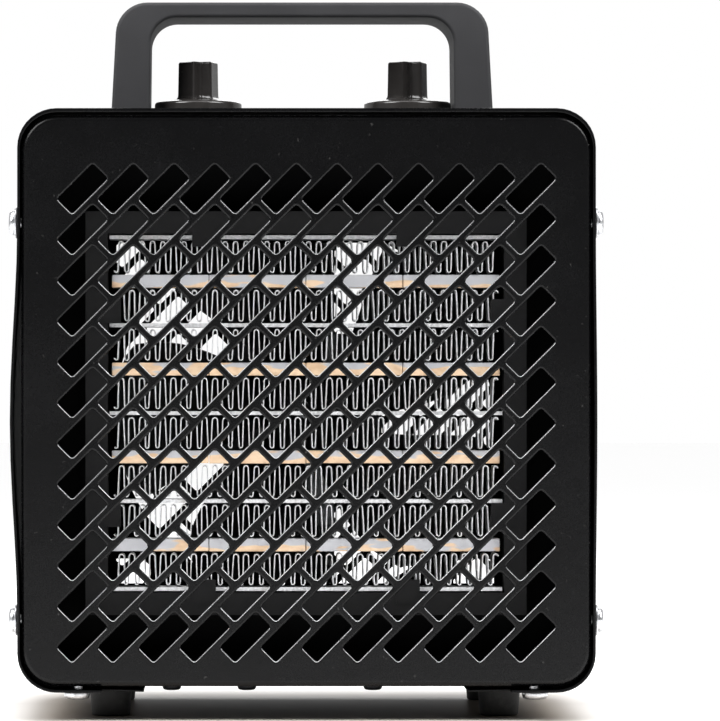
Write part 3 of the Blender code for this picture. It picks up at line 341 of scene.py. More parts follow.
def turned(name, stations, sides, ring=False):
    """A body about Z: a circle drawn on through stations of (radius, height), closed at both
    ends, or joined end to end as a ring. A radius may be a rule of the angle, and a height a rule
    of the radius."""
    only(None)
    bpy.ops.mesh.primitive_circle_add(vertices=sides, radius=1.0, fill_type="NOTHING")
    obj = named(name)
    edit(obj)
    bpy.ops.mesh.select_mode(type="EDGE")
    bpy.ops.mesh.select_all(action="SELECT")
    set_ring(obj, stations[0])
    for station in stations[1:]:
        bpy.ops.mesh.extrude_region_move(TRANSFORM_OT_translate={"value": (0, 0, 0)})
        set_ring(obj, station)
    if ring:
        select(obj, "EDGE", lambda edge: edge.is_boundary)
        bpy.ops.mesh.bridge_edge_loops()
    else:
        bpy.ops.mesh.edge_face_add()
        select(obj, "EDGE", lambda edge: edge.is_boundary)
        bpy.ops.mesh.edge_face_add()
    bpy.ops.mesh.select_all(action="SELECT")
    bpy.ops.mesh.normals_make_consistent(inside=False)
    done()
    return obj


def drill(obj, place, direction, radius, reach, sides=48):
    """Bores a round hole that reaches as far each way from a place."""
    bit = turned("bit", [(radius, -reach), (radius, reach)], sides)
    bit.matrix_world = pointing(place, direction)
    carve(obj, settle(bit))


# ---- Finishes ----


class Value:
    """A shader value that adds Math nodes when it is used in a sum or a product."""

    def __init__(self, finish, socket):
        self.finish, self.socket = finish, socket

    def math(self, operation, first, second):
        return self.finish.node("Math", {0: first, 1: second}, operation=operation)

    def __add__(self, other):
        return self.math("ADD", self, other)

    def __sub__(self, other):
        return self.math("SUBTRACT", self, other)

    def __rsub__(self, other):
        return self.math("SUBTRACT", other, self)

    def __mul__(self, other):
        return self.math("MULTIPLY", self, other)

    def __truediv__(self, other):
        return self.math("DIVIDE", self, other)

    __radd__ = __add__
    __rmul__ = __mul__

    def between(self, low, high, start=0.0, end=1.0):
        """Runs from start to end as the value runs from low to high."""
        sockets = {"Value": self, "From Min": low, "From Max": high, "To Min": start, "To Max": end}
        return self.finish.node("MapRange", sockets, interpolation_type="SMOOTHSTEP")


class Finish:
    """A procedural material, or the world, with its nodes."""

    def __init__(self, owner, source="Object"):
        owner.use_nodes = True
        self.owner = owner
        self.tree = owner.node_tree
        self.place = self.node("TexCoord", output=source)

    def node(self, kind, sockets=None, output=0, **settings):
        made = self.tree.nodes.new("ShaderNode" + kind)
        for key, value in settings.items():
            setattr(made, key, value)
        for key, value in (sockets or {}).items():
            self.put(made.inputs[key], value)
        return Value(self, made.outputs[output])

    def put(self, socket, value):
        if isinstance(value, Value):
            self.tree.links.new(value.socket, socket)
        elif socket.type == "RGBA" and len(value) == 3:
            socket.default_value = (*value, 1.0)
        else:
            socket.default_value = value

    def part_of_place(self, axis):
        return self.node("SeparateXYZ", {0: self.place}, output=axis)

    def noise(self, size, detail=2.0, rough=0.5, stretch=(1, 1, 1), seed=0.0):
        """Noise whose blotches are about as large as size, stretched along the axes."""
        scale = [1.0 / (size * s) for s in stretch]
        sockets = {"Vector": self.place, "Location": (seed, seed, seed), "Scale": scale}
        place = self.node("Mapping", sockets)
        sockets = {"Vector": place, "Scale": 1.0, "Detail": detail, "Roughness": rough}
        return self.node("TexNoise", sockets)

    def mix(self, share, first, second):
        return self.node("Mix", {0: share, 6: first, 7: second}, output=2, data_type="RGBA")

    def bump(self, height, strength, distance, normal=None):
        sockets = {"Height": height, "Strength": strength, "Distance": distance}
        if normal is not None:
            sockets["Normal"] = normal
        return self.node("Bump", sockets)

    def shade(self, **values):
        """Sets the shader's sockets, named with underscores for spaces."""
        shader = self.tree.nodes["Principled BSDF"]
        for key, value in values.items():
            self.put(shader.inputs[key.replace("_", " ")], value)


def tint(base, factor):
    return tuple(min(1.0, channel * factor) for channel in base)


def two_tone(f, pattern, tones, rough, spread, bump, relief=None, **fixed):
    """Two tones that follow a pattern, which also sets the roughness and, unless another relief
    is given, the relief."""
    f.shade(
        Base_Color=f.mix(pattern, *tones),
        Roughness=pattern * spread + rough,
        Normal=f.bump(pattern if relief is None else relief, *bump),
        **fixed,
    )


def cabinet_coating(f):
    """Fine-grained black powder coat with faint clouds, a little dust and a few rubbed specks."""
    clouds = f.noise(0.035, 3.0, 0.6)
    grain = f.noise(0.0006, 2.0, 0.6)
    dust = f.noise(0.0016, 1.0, 0.5, seed=7.0).between(0.74, 0.84)
    scuff = f.noise(0.004, 4.0, 0.75, stretch=(1.0, 1.0, 6.0), seed=3.0).between(0.66, 0.80)
    base, wear_and_glint = tuple(colours().coating), tuple(colours().coating_worn)
    body = f.mix(clouds.between(0.35, 0.7), base, tint(base, 1.45))
    body = f.mix(scuff * 0.5, body, wear_and_glint)
    f.shade(
        Base_Color=f.mix(dust * 0.35, body, (0.085, 0.083, 0.08)),
        Roughness=grain * 0.06 + clouds * 0.06 + 0.21,
        Specular_IOR_Level=0.20,
        Normal=f.bump(grain, 0.20, 0.00005, f.bump(f.noise(0.0045, 1.0), 0.10, 0.0002)),
    )


def inner_coat(f):
    """The near-black coat inside the cabinet, dead matt and nearly without sheen, so that it also
    serves as painted shade for the dark inside.
    """
    clouds = f.noise(0.02, 3.0)
    grain = f.noise(0.0007, 2.0, 0.6)
    f.shade(
        Base_Color=f.mix(clouds, (0.0030, 0.0030, 0.0032), (0.0065, 0.0065, 0.0068)),
        Roughness=grain * 0.15 + 0.75,
        Specular_IOR_Level=0.05,
        Normal=f.bump(grain, 0.15, 0.00005),
    )


def bare_rim(f):
    """The upward rim of a punched slot, given pale bright metal: a painted highlight that stands in
    for the light's glint.
    """
    breaks = f.noise(0.0022, 3.0, 0.6)
    base = tuple(colours().zinc)
    f.shade(
        Base_Color=f.mix(breaks.between(0.58, 0.72), base, tint(base, 0.35)),
        Roughness=breaks * 0.2 + 0.22,
        Metallic=0.85,
        Normal=f.bump(breaks, 0.15, 0.00006),
    )


def inner_sheet(f):
    """Galvanised sheet with a faint spangle."""
    spangle = f.node("TexVoronoi", {"Vector": f.place, "Scale": 260.0}, output="Color")
    level = f.node("SeparateColor", {0: spangle}, output=0)
    tones = (0.42, 0.43, 0.45), (0.55, 0.56, 0.58)
    two_tone(f, level, tones, 0.34, 0.18, (0.1, 0.00005), f.noise(0.0012), Metallic=1.0)


def zinc_screws(f):
    """Bright zinc plating, a little clouded, with fine turning marks."""
    clouds = f.noise(0.0018, 3.0)
    base = tuple(colours().zinc)
    f.shade(
        Base_Color=f.mix(clouds.between(0.35, 0.7), base, tint(base, 0.72)),
        Roughness=clouds * 0.25 + 0.18,
        Metallic=1.0,
        Normal=f.bump(f.noise(0.0004, 2.0), 0.12, 0.00003),
    )


def dark_screws(f):
    """Blackened steel."""
    tones = (0.018, 0.018, 0.02), (0.045, 0.045, 0.05)
    two_tone(f, f.noise(0.0015, 3.0), tones, 0.3, 0.2, (0.1, 0.00004), Metallic=0.6)


def element_aluminium(f):
    """Rolled aluminium, dulled in streaks along the air's way and here and there by heat."""
    streaks = f.noise(0.0009, 3.0, 0.6, stretch=(1.0, 9.0, 1.6))
    heat = f.noise(0.012, 2.0, seed=4.0).between(0.5, 0.8)
    base = tuple(colours().fins)
    body = f.mix(streaks.between(0.3, 0.75), base, tint(base, 0.75))
    f.shade(
        Base_Color=f.mix(heat * 0.35, body, (0.62, 0.56, 0.50)),
        Roughness=streaks * 0.22 + 0.26,
        Metallic=streaks.between(0.3, 0.75, 0.25, 0.6),
        Normal=f.bump(streaks, 0.15, 0.00006),
    )


def ceramic_blocks(f):
    """Tan heating stone, with a grey contact layer smeared in bars over its upper part."""
    grain = f.noise(0.0009, 4.0, 0.65)
    patches = f.noise(0.007, 3.0, 0.6, stretch=(1.4, 1.0, 0.7), seed=2.0)
    # Height within a bar, from 0 at one bar's middle to 1 at the next one's.
    pitch = BOX["ceramic_bar_2"][0].z - BOX["ceramic_bar_1"][0].z
    middle = (BOX["ceramic_bar_1"][0].z + BOX["ceramic_bar_1"][1].z) / 2
    steps = (f.part_of_place("Z") - middle) / pitch + 0.5
    rise = f.node("Math", {0: steps}, operation="FRACT") - 0.5
    upper = (rise * pitch).between(-0.0016, 0.0012)
    smears = f.noise(0.0085, 2.0, 0.4, stretch=(1.5, 1.0, 0.35), seed=9.0)
    # The outer bars carry more of the contact layer than the two inner ones.
    far = f.node("Math", {0: f.part_of_place("Z") - AXIS_Z}, operation="ABSOLUTE")
    share = far.between(0.020, 0.034, -0.07, 0.05)
    silver = (smears + upper * 0.26 + share).between(0.60, 0.66)
    stone = f.mix(patches.between(0.35, 0.68), tuple(colours().stone), tuple(colours().stone_dark))
    stone = f.mix(grain.between(0.55, 0.8) * 0.4, stone, tint(colours().stone_dark, 0.7))
    f.shade(
        Base_Color=f.mix(silver * 0.85, stone, tuple(colours().silvering)),
        Roughness=silver * -0.25 + grain * 0.15 + 0.62,
        Metallic=silver * 0.15,
        Normal=f.bump(grain + silver * 0.5, 0.25, 0.0001),
    )


def handle_moulding(f):
    """Dark grey moulding with a fine spark-eroded grain."""
    grain = f.noise(0.00045, 2.0, 0.6)
    clouds = f.noise(0.02, 3.0)
    rubbed = f.noise(0.0035, 4.0, 0.7, stretch=(3.0, 1.0, 1.0), seed=5.0).between(0.66, 0.82)
    base = tuple(colours().handle)
    body = f.mix(clouds.between(0.3, 0.7), tint(base, 0.92), tint(base, 1.1))
    f.shade(
        Base_Color=f.mix(rubbed * 0.5, body, tint(base, 1.9)),
        Roughness=grain * 0.14 + 0.55,
        Specular_IOR_Level=0.22,
        Normal=f.bump(grain, 0.35, 0.00007),
    )


def knob_moulding(f):
    """Black glossy moulding, with faint finger haze."""
    haze = f.noise(0.006, 4.0, 0.65)
    ripple = f.noise(0.0018, 1.0)
    base = tuple(colours().knob)
    f.shade(
        Base_Color=f.mix(haze.between(0.4, 0.75), base, tint(base, 1.3)),
        Roughness=haze.between(0.42, 0.72, 0.20, 0.28),
        Normal=f.bump(ripple, 0.05, 0.0001),
    )


def holder_moulding(f):
    """Matt black heat-proof moulding, a little dusty."""
    grain = f.noise(0.0008, 3.0, 0.6)
    dust = f.noise(0.003, 3.0, 0.6, seed=6.0).between(0.5, 0.85)
    base = tuple(colours().holder)
    f.shade(
        Base_Color=f.mix(dust * 0.5, base, tint(base, 3.0)),
        Roughness=grain * 0.2 + 0.48,
        Specular_IOR_Level=0.20,
        Normal=f.bump(grain, 0.2, 0.00008),
    )


def fan_moulding(f):
    """Grey-black moulding with flow marks."""
    flow = f.noise(0.008, 3.0, 0.55, stretch=(1.0, 1.0, 2.5))
    tones = (0.020, 0.020, 0.022), (0.040, 0.040, 0.043)
    two_tone(f, flow, tones, 0.34, 0.2, (0.12, 0.00006), f.noise(0.0007))


def rubber_feet(f):
    """Black rubber, paled by dust."""
    dust = f.noise(0.0025, 4.0, 0.65)
    f.shade(
        Base_Color=f.mix(dust.between(0.4, 0.8), (0.010, 0.010, 0.010), (0.035, 0.034, 0.033)),
        Roughness=dust * 0.25 + 0.5,
        Normal=f.bump(f.noise(0.0007), 0.2, 0.00008),
    )


def turned_steel(f):
    """Turned steel with rings of tool marks."""
    rings = f.noise(0.0005, 2.0, 0.5, stretch=(8.0, 1.0, 1.0))
    tones = (0.55, 0.55, 0.56), (0.42, 0.42, 0.43)
    two_tone(f, rings, tones, 0.22, 0.15, (0.12, 0.00003), Metallic=1.0)


def motor_steel(f):
    """Stacked laminations with a thin varnish."""
    sockets = {"Vector": f.place, "Scale": 340.0, "Distortion": 0.6}
    layers = f.node("TexWave", sockets, bands_direction="Y")
    level = f.node("SeparateColor", {0: layers}, output=0)
    rust = f.noise(0.004, 4.0, 0.7).between(0.55, 0.8)
    steel = f.mix(level, (0.10, 0.10, 0.11), (0.20, 0.20, 0.21))
    f.shade(
        Base_Color=f.mix(rust * 0.4, steel, (0.16, 0.09, 0.05)),
        Roughness=level * 0.15 + 0.38,
        Metallic=0.7,
        Normal=f.bump(level, 0.35, 0.0001),
    )


def white_block(f):
    """Off-white thermoplastic."""
    tones = (0.60, 0.59, 0.55), (0.68, 0.67, 0.64)
    two_tone(f, f.noise(0.004, 3.0), tones, 0.35, 0.2, (0.1, 0.00006), f.noise(0.0008))


FINISHES = (
    cabinet_coating, inner_coat, bare_rim, inner_sheet, zinc_screws, dark_screws,
    element_aluminium, ceramic_blocks, handle_moulding, knob_moulding, holder_moulding,
    fan_moulding, rubber_feet, turned_steel, motor_steel, white_block,
)
RECIPES = {recipe.__name__: recipe for recipe in FINISHES}


def finish_named(slot):
    name = "finish_" + slot
    found = bpy.data.materials.get(name)
    if found is None:
        found = bpy.data.materials.new(name)
        found.use_nodes = True
        RECIPES[slot](Finish(found))
    return found


def hand_over(obj, body, slot, *nodes):
    """Gives a finished piece its finish and its body, and hides the frame nodes that it stands for.
    """
    obj.data.materials.clear()
    obj.data.materials.append(finish_named(slot))
    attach(obj, body)
    if nodes:
        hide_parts(*nodes)


# ---- The cabinet ----


def give_faces(obj, slot, test):
    """Gives some faces of a finished piece another finish."""
    obj.data.materials.append(finish_named(slot))
    edit(obj)
    select(obj, "FACE", test)
    obj.active_material_index = len(obj.data.materials) - 1
    bpy.ops.object.material_slot_assign()
    done()


def bow_at(z, low, high, most):
    share = (z - low) / (high - low)
    return most * math.sin(math.pi * share) ** 2 if 0 < share < 1 else 0.0


def make_shell():
    s = sizes()
    half = s.shell_width / 2
    obj = add_block("cabinet_shell", (-half, FRONT, SHELL_LOW.z), (half, REAR, SHELL_HIGH.z))
    edit(obj)
    round_edges(obj, runs_along(1), s.shell_radius, 9)
    remove_faces(obj, lambda face: abs(face.normal.y) > 0.9)

    def bottom(face):
        return face.normal.z < -0.99

    def side(face):
        return abs(face.normal.x) > 0.99

    end = half - s.flange_reach
    for x in (-end - s.notch, -end, end, end + s.notch):
        cut(obj, (x, 0, 0), (1, 0, 0), bottom)
    for y in (FRONT + s.notch_depth, REAR - s.notch_depth):
        cut(obj, (0, y, 0), (0, 1, 0), bottom)

    def is_open(face):
        middle = face.calc_center_median()
        near_end = min(middle.y - FRONT, REAR - middle.y) < s.notch_depth
        reach = end + s.notch if near_end else end
        return bottom(face) and abs(middle.x) < reach - NEAR

    remove_faces(obj, is_open)
    low_z = centre_of("side_screw_front_left_lower").z
    high_z = centre_of("side_screw_front_left_upper").z
    rows = 10
    for i in range(rows + 1):
        z = low_z + (high_z - low_z) * i / rows
        cut(obj, (0, 0, z), (0, 0, 1), side)
    for y in (FRONT + 0.0025, REAR - 0.0025):
        cut(obj, (0, y, 0), (0, 1, 0), lambda face: True)

    straight = half - s.shell_radius

    def sprung(point):
        """The side walls stand out between their screws, and the flanges sag at their ends."""
        moved = point.copy()
        if abs(point.x) > half - NEAR:
            most = s.bow_left if point.x < 0 else s.bow_right
            moved.x += math.copysign(bow_at(point.z, low_z, high_z, most), point.x)
        if point.z < SHELL_LOW.z + NEAR and abs(point.x) < straight:
            moved.z -= 0.0004 * ((straight - abs(point.x)) / (straight - end)) ** 2
        return moved

    move_points(obj, sprung)
    done()
    modify(obj, "SOLIDIFY", thickness=s.sheet, offset=-1.0, use_even_offset=True)

    bend_z = SHELL_HIGH.z - s.shell_radius

    def bend_centre(point):
        return Vector((max(-straight, min(straight, point.x)), point.y, bend_z))

    def inner_lip(vert):
        at_end = min(vert.co.y - FRONT, REAR - vert.co.y) < NEAR
        depth = (vert.co - bend_centre(vert.co)).length
        return at_end and vert.co.z > bend_z and depth < s.shell_radius - s.sheet / 2

    def thicken(point):
        share = min(1.0, (point.z - bend_z) / (s.shell_radius * 0.8))
        return point + (bend_centre(point) - point).normalized() * s.lip * share

    edit(obj)
    move_points(obj, thicken, inner_lip)
    done()
    for node in ("thermostat_spindle", "switch_spindle"):
        middle = centre_of(node)
        radius = BOX[node][1].x - middle.x + s.spindle_gap
        place = (middle.x, middle.y, SHELL_HIGH.z)
        drill(obj, place, (0, 0, 1), radius, s.spindle_hole)
    ease(obj, 0.00024, 2, 45.0)
    smooth(obj, weighted=True)
    hand_over(obj, "cabinet", "cabinet_coating", "outer_shell")

    def inward(face):
        middle, normal = face.calc_center_median(), face.normal
        return normal.x * middle.x + normal.z * (middle.z - AXIS_Z) < 0 and abs(normal.y) < 0.5

    # The shell's inward faces get the near-black inner coat, partly painted shade.
    give_faces(obj, "inner_coat", inward)


def slot_cutter(centres):
    s = sizes()
    corner = Vector((s.slot_length / 2, 0.004, s.slot_width / 2))
    one = rounded_block("slot", -corner, corner, s.slot_corner, 3)
    one.rotation_euler = (0, -s.slot_angle, 0)
    settle(one)
    copies = [copy_of(one, "slot_copy", Matrix.Translation(centre)) for centre in centres]
    bpy.data.objects.remove(one)
    return join("slots", copies)


def slot_centres(y):
    s = sizes()
    middle = (s.slot_count - 1) / 2
    return [
        Vector(((i - middle) * s.slot_pitch, y, AXIS_Z + (j - middle) * s.slot_pitch))
        for i in range(s.slot_count)
        for j in range(s.slot_count)
    ]


def clear_of_bushing(centre):
    """Whether a slot leaves plain metal round the bushing."""
    s = sizes()
    middle = centre_of("cord_bushing")
    collar = BOX["cord_bushing"][1].x - middle.x
    across, up = middle.x - centre.x, middle.z - centre.z
    along = abs(across * math.cos(s.slot_angle) + up * math.sin(s.slot_angle))
    beside = abs(up * math.cos(s.slot_angle) - across * math.sin(s.slot_angle))
    beyond = (max(along - s.slot_length / 2, 0.0), max(beside - s.slot_width / 2, 0.0))
    return math.hypot(*beyond) > collar + COLLAR_MARGIN


def make_panel(name, node, facing):
    s = sizes()
    low, high = BOX[node]
    face_y = low.y if facing < 0 else high.y
    obj = add_block(name, low, high)
    edit(obj)
    round_edges(obj, runs_along(1), s.panel_radius, 9)
    remove_faces(obj, lambda face: face.normal.y * facing < -0.9)
    round_edges(obj, lambda edge: all(abs(v.co.y - face_y) < NEAR for v in edge.verts),
                s.panel_bend, 4)
    done()
    modify(obj, "SOLIDIFY", thickness=s.sheet, offset=-1.0, use_even_offset=True)
    centres = slot_centres(face_y)
    if node == "rear_panel":
        centres = [centre for centre in centres if clear_of_bushing(centre)]
    carve(obj, slot_cutter(centres))
    edit(obj)

    def punched(edge):
        return all(abs(v.co.y - face_y) < NEAR for v in edge.verts) and edge.calc_face_angle(0) > 1

    round_edges(obj, punched, s.slot_edge, 4)
    done()
    if node == "rear_panel":
        middle = centre_of("cord_bushing")
        drill(obj, (middle.x, face_y, middle.z), (0, 1, 0), s.gland_hole, 0.006, 40)
    ease(obj, 0.0001, 1, 50.0)
    smooth(obj, weighted=True)
    hand_over(obj, "cabinet", "cabinet_coating", node)
    reach = s.slot_pitch * (s.slot_count + 1) / 2

    def wear_and_glint(face):
        """The upward rims of the slots, which get the painted highlight."""
        middle, normal = face.calc_center_median(), face.normal
        in_field = max(abs(middle.x), abs(middle.z - AXIS_Z)) < reach
        on_rim = abs(middle.y - face_y) < s.slot_edge
        return in_field and on_rim and normal.z > RIM_RISE and abs(normal.y) < RIM_FACING

    # The upward slot rims get a pale metal finish, a painted highlight.
    give_faces(obj, "bare_rim", wear_and_glint)


# ---- The handle, knobs, screws and feet ----


def make_handle():
    s = sizes()
    low, high = BOX["handle"]
    middle = (low.x + high.x) / 2
    half = (high.x - low.x) / 2
    inner = half - s.handle_leg

    def tapered(name, low_corner, high_corner, reach, lean, radius):
        obj = add_block(name, low_corner, high_corner)
        edit(obj)

        def lean_in(point):
            share = max(0.0, (point.z - low.z) / (high.z - low.z))
            sign = 1 if point.x > middle else -1
            return Vector((middle + sign * (reach - lean * share), point.y, point.z))

        move_points(obj, lean_in)
        top = high_corner[2]
        round_edges(
            obj,
            lambda edge: runs_along(1)(edge) and edge.verts[0].co.z > top - NEAR,
            radius, 10,
        )
        done()
        return obj

    obj = tapered("carry_handle", low, high, half, s.handle_taper, s.handle_corner)
    under = high.z - s.handle_bar
    opening = tapered("opening", (middle - inner, low.y - 0.01, low.z - 0.01),
                      (middle + inner, high.y + 0.01, under), inner,
                      s.opening_taper, s.opening_corner)
    carve(obj, opening)
    edit(obj)

    def long_edge(edge):
        ys = [v.co.y for v in edge.verts]
        on_face = all(y < low.y + NEAR for y in ys) or all(y > high.y - NEAR for y in ys)
        return on_face and max(v.co.z for v in edge.verts) > low.z + NEAR

    round_edges(obj, long_edge, s.handle_edge, 4)
    done()
    smooth(obj, weighted=True)
    hand_over(obj, "cabinet", "handle_moulding", "handle")


def grip_radius(angle):
    """The grip's reach: flat-ended lobes with hollow flutes between them."""
    s = sizes()
    pitch = math.tau / 3
    away = abs((angle - s.grip_turn + pitch / 2) % pitch - pitch / 2)
    half_lobe = math.atan2(s.grip_lobe / 2, s.grip_reach)
    if away <= half_lobe:
        return s.grip_reach / math.cos(away)
    corner = math.hypot(s.grip_reach, s.grip_lobe / 2)
    share = (away - half_lobe) / (pitch / 2 - half_lobe)
    return corner - (corner - s.grip_flute) * math.sin(math.pi / 2 * share)


def grip_with(extra):
    return lambda angle: grip_radius(angle) + extra


def dome(radius):
    """Height of the skirt's dome above the knob's base."""
    return 0.0057 + 0.0011 * (1 - min(1.0, radius / 0.0141) ** 2)


def make_knob(name, node, body):
    low, high = BOX[node]
    top = high.z - low.z
    middle = centre_of(node)
    stations = [
        (0.0140, 0.0006), (0.0146, 0.0), (0.0151, 0.0001), (0.0153, 0.0004), (0.0153, 0.0046),
        (0.01515, 0.0051), (0.0148, 0.00545), (0.0141, 0.0057), (0.0128, dome), (0.0112, dome),
        (0.0098, dome), (grip_with(0.0008), dome), (grip_with(0.0004), 0.0069),
        (grip_with(0.0001), 0.0074), (grip_with(0.0), 0.0082), (grip_with(-0.0001), 0.0130),
        (grip_with(-0.0002), top - 0.0006), (grip_with(-0.0004), top - 0.0002),
        (grip_with(-0.0008), top), (grip_with(-0.0013), top - 0.0002),
        (grip_with(-0.0017), top - 0.0006), (grip_with(-0.0024), top - 0.0009),
        (0.0010, top - 0.0011),
    ]
    obj = turned(name, stations, 120)
    obj.location = (middle.x, middle.y, low.z)
    settle(obj)
    smooth(obj, math.radians(32), weighted=True)
    hand_over(obj, body, "knob_moulding", node)


def make_screw(name, washer, radius, height, shank):
    """A pan-headed screw about Z, standing on height 0, with a cross recess."""
    seat = 0.0008 if washer else 0.0
    stations = [(0.0006, -shank), (0.00175, -shank + 0.0014), (0.0018, 0.0)]
    if washer:
        stations += [(0.0050, 0.0), (0.0053, 0.0002), (0.0053, 0.00055), (0.0050, 0.0008)]
    stations += [
        (radius - 0.0001, seat), (radius, seat + 0.0003), (radius, seat + height * 0.45),
        (radius * 0.94, seat + height * 0.72), (radius * 0.78, seat + height * 0.92),
        (radius * 0.5, seat + height), (radius * 0.1, seat + height),
    ]
    obj = turned(name, stations, 40)
    arm, width, deep = radius * 0.56, radius * 0.11, height * 0.55
    top = seat + height
    cross = add_block("cross", (-arm, -width, top - deep), (arm, width, top + 0.001))
    other = add_block("other", (-width, -arm, top - deep), (width, arm, top + 0.001))
    carve(cross, other, "UNION")
    edit(cross)
    move_points(cross, lambda p: Vector((p.x * 0.45, p.y * 0.45, p.z)) if p.z < top else p)
    done()
    carve(obj, cross)
    ease(obj, 0.00012, 2, 55.0)
    smooth(obj, math.radians(35), weighted=True)
    return obj


def make_screws():
    families = (
        ("side_screw_", True, 0.0042, 0.0020, 0.0080, "zinc_screws"),
        ("flange_screw_", False, 0.0044, 0.0024, 0.0080, "zinc_screws"),
        ("base_screw_", False, 0.0032, 0.0019, 0.0040, "dark_screws"),
    )
    turns = random.Random(11)
    for prefix, washer, radius, height, shank, slot in families:
        model = make_screw("screw_model", washer, radius, height, shank)
        rise = height + (0.0008 if washer else 0.0)
        for node in sorted(name for name in BOX if name.startswith(prefix)):
            low, high = BOX[node]
            middle = centre_of(node)
            if prefix == "side_screw_":
                sign = -1 if middle.x < 0 else 1
                seat = sign * (max(abs(low.x), abs(high.x)) - rise)
                place = pointing((seat, middle.y, middle.z), (sign, 0, 0))
            else:
                place = pointing((middle.x, middle.y, low.z + rise), (0, 0, -1))
            spin = Matrix.Rotation(turns.uniform(0, math.tau), 4, "Z")
            piece = copy_of(model, node.replace("screw", "fixing"), place @ spin)
            hand_over(piece, "cabinet", slot, node)
        bpy.data.objects.remove(model)


def make_feet():
    tall = BOX["foot_front_left"][1].z
    shoulder = SHELL_LOW.z - 0.0003
    stations = [
        (0.0010, 0.0012), (0.0030, 0.0012), (0.0036, 0.0003), (0.0040, 0.0), (0.0058, 0.0),
        (0.0063, 0.0002), (0.0066, 0.0007), (0.0072, shoulder - 0.0012),
        (0.00735, shoulder - 0.0006), (0.0071, shoulder), (0.0020, shoulder),
        (0.0020, tall - 0.0030), (0.0034, tall - 0.0030), (0.0012, tall),
    ]
    model = turned("foot_model", stations, 48)
    smooth(model, weighted=True)
    for node in sorted(name for name in BOX if name.startswith("foot_")):
        middle = centre_of(node)
        place = Matrix.Translation((middle.x, middle.y, 0.0))
        piece = copy_of(model, node.replace("foot", "rubber_foot"), place)
        hand_over(piece, "cabinet", "rubber_feet", node)
    bpy.data.objects.remove(model)


# ---- The heating element ----


def fin_path(low, high, z_low, z_high, rng):
    """Points of a strip folded to and fro, its folds a little uneven as on the real one."""
    s = sizes()
    step = (high - low) / FOLDS
    points = []
    wide = s.fin_bend * rng.uniform(1.05, 1.3)
    for i in range(FOLDS):
        top = i % 2 == 1
        inner = 0 < i < FOLDS - 1
        x = low + (i + 0.5) * step + (rng.uniform(-0.10, 0.10) * MM if inner else 0.0)
        radius = (wide if top else 2 * s.fin_bend - wide) * rng.uniform(0.9, 1.1)
        short = rng.uniform(0.0, 0.25) * MM
        z = z_high - radius - short if top else z_low + radius + short
        for k in range(FOLD_POINTS):
            angle = math.pi * (1 - k / (FOLD_POINTS - 1))
            rise = math.sin(angle) * radius * (1 if top else -1)
            points.append((x + math.cos(angle) * radius, z + rise))
    return points


def make_fins():
    s = sizes()
    rng = random.Random(5)
    for i in range(1, 9):
        node = f"fin_row_{i}"
        low, high = BOX[node]
        edge = s.fin_sheet / 2
        points = fin_path(low.x + 0.0006, high.x - 0.0006, low.z + edge, high.z - edge, rng)
        count = len(points) - 1
        only(None)
        bpy.ops.mesh.primitive_grid_add(x_subdivisions=count, y_subdivisions=2, size=1.0)
        obj = named(f"folded_fins_{i}")
        edit(obj)
        middle, half = (low.y + high.y) / 2, (high.y - low.y) / 2
        wander = [rng.uniform(-0.12, 0.0) * MM for _ in range(count // FOLD_POINTS + 2)]

        def folded(point):
            index = round((point.x + 0.5) * count)
            x, z = points[index]
            back = wander[index // FOLD_POINTS] if point.y < -0.4 else 0.0
            return Vector((x, middle + point.y * 2 * half - back, z))

        move_points(obj, folded)
        done()
        modify(obj, "SOLIDIFY", thickness=s.fin_sheet, offset=0.0)
        smooth(obj, math.radians(50))
        hand_over(obj, "cabinet", "element_aluminium", node)


def make_stones():
    s = sizes()
    rng = random.Random(8)
    for i in range(1, 5):
        node = f"ceramic_bar_{i}"
        low, high = BOX[node]
        width = (high.x - low.x) / STONES
        stones = []
        for k in range(STONES):
            start = low.x + k * width + (s.stone_gap / 2 if k else 0.0)
            end = low.x + (k + 1) * width - (s.stone_gap / 2 if k < STONES - 1 else 0.0)
            back = rng.uniform(0.0, 0.25) * MM
            drop = rng.uniform(0.0, 0.12) * MM
            stone = add_block("stone", (start, low.y + back, low.z + drop), (end, high.y, high.z))
            edit(stone)
            round_edges(stone, lambda edge: True, rng.uniform(0.22, 0.36) * MM, 2)
            done()
            stones.append(stone)
        obj = join(f"heating_stones_{i}", stones)
        smooth(obj, weighted=True)
        hand_over(obj, "cabinet", "ceramic_blocks", node)


# ---- The fan and the bushing ----


def make_duct():
    """The pan round the fan, its back pierced by the fan's round throat and three lightening
    openings in its corners."""
    s = sizes()
    low, high = BOX["air_duct"]
    sheet, past = s.sheet, 0.002
    obj = rounded_block("fan_duct", low, high, s.duct_radius, 6)
    inner_low = (low.x + sheet, low.y - past, low.z + sheet)
    inner_high = (high.x - sheet, high.y - sheet, high.z - sheet)
    carve(obj, rounded_block("inner", inner_low, inner_high, s.duct_radius - sheet, 6))
    reach = sheet + 2 * past
    drill(obj, (0, high.y, AXIS_Z), (0, 1, 0), s.throat_radius, reach, 128)
    half = s.corner_opening / 2
    corner = Vector((half, reach, half * 0.8))
    for x, z in CORNER_OPENINGS:
        centre = Vector((x, high.y, AXIS_Z + z))
        carve(obj, rounded_block("hole", centre - corner, centre + corner, half * 0.5, 6))
    ease(obj, 0.0001, 1, 50.0)
    smooth(obj, weighted=True)
    hand_over(obj, "cabinet", "cabinet_coating", "air_duct")
    # The duct gets the near-black inner coat all over, partly painted shade.
    obj.data.materials[0] = finish_named("inner_coat")


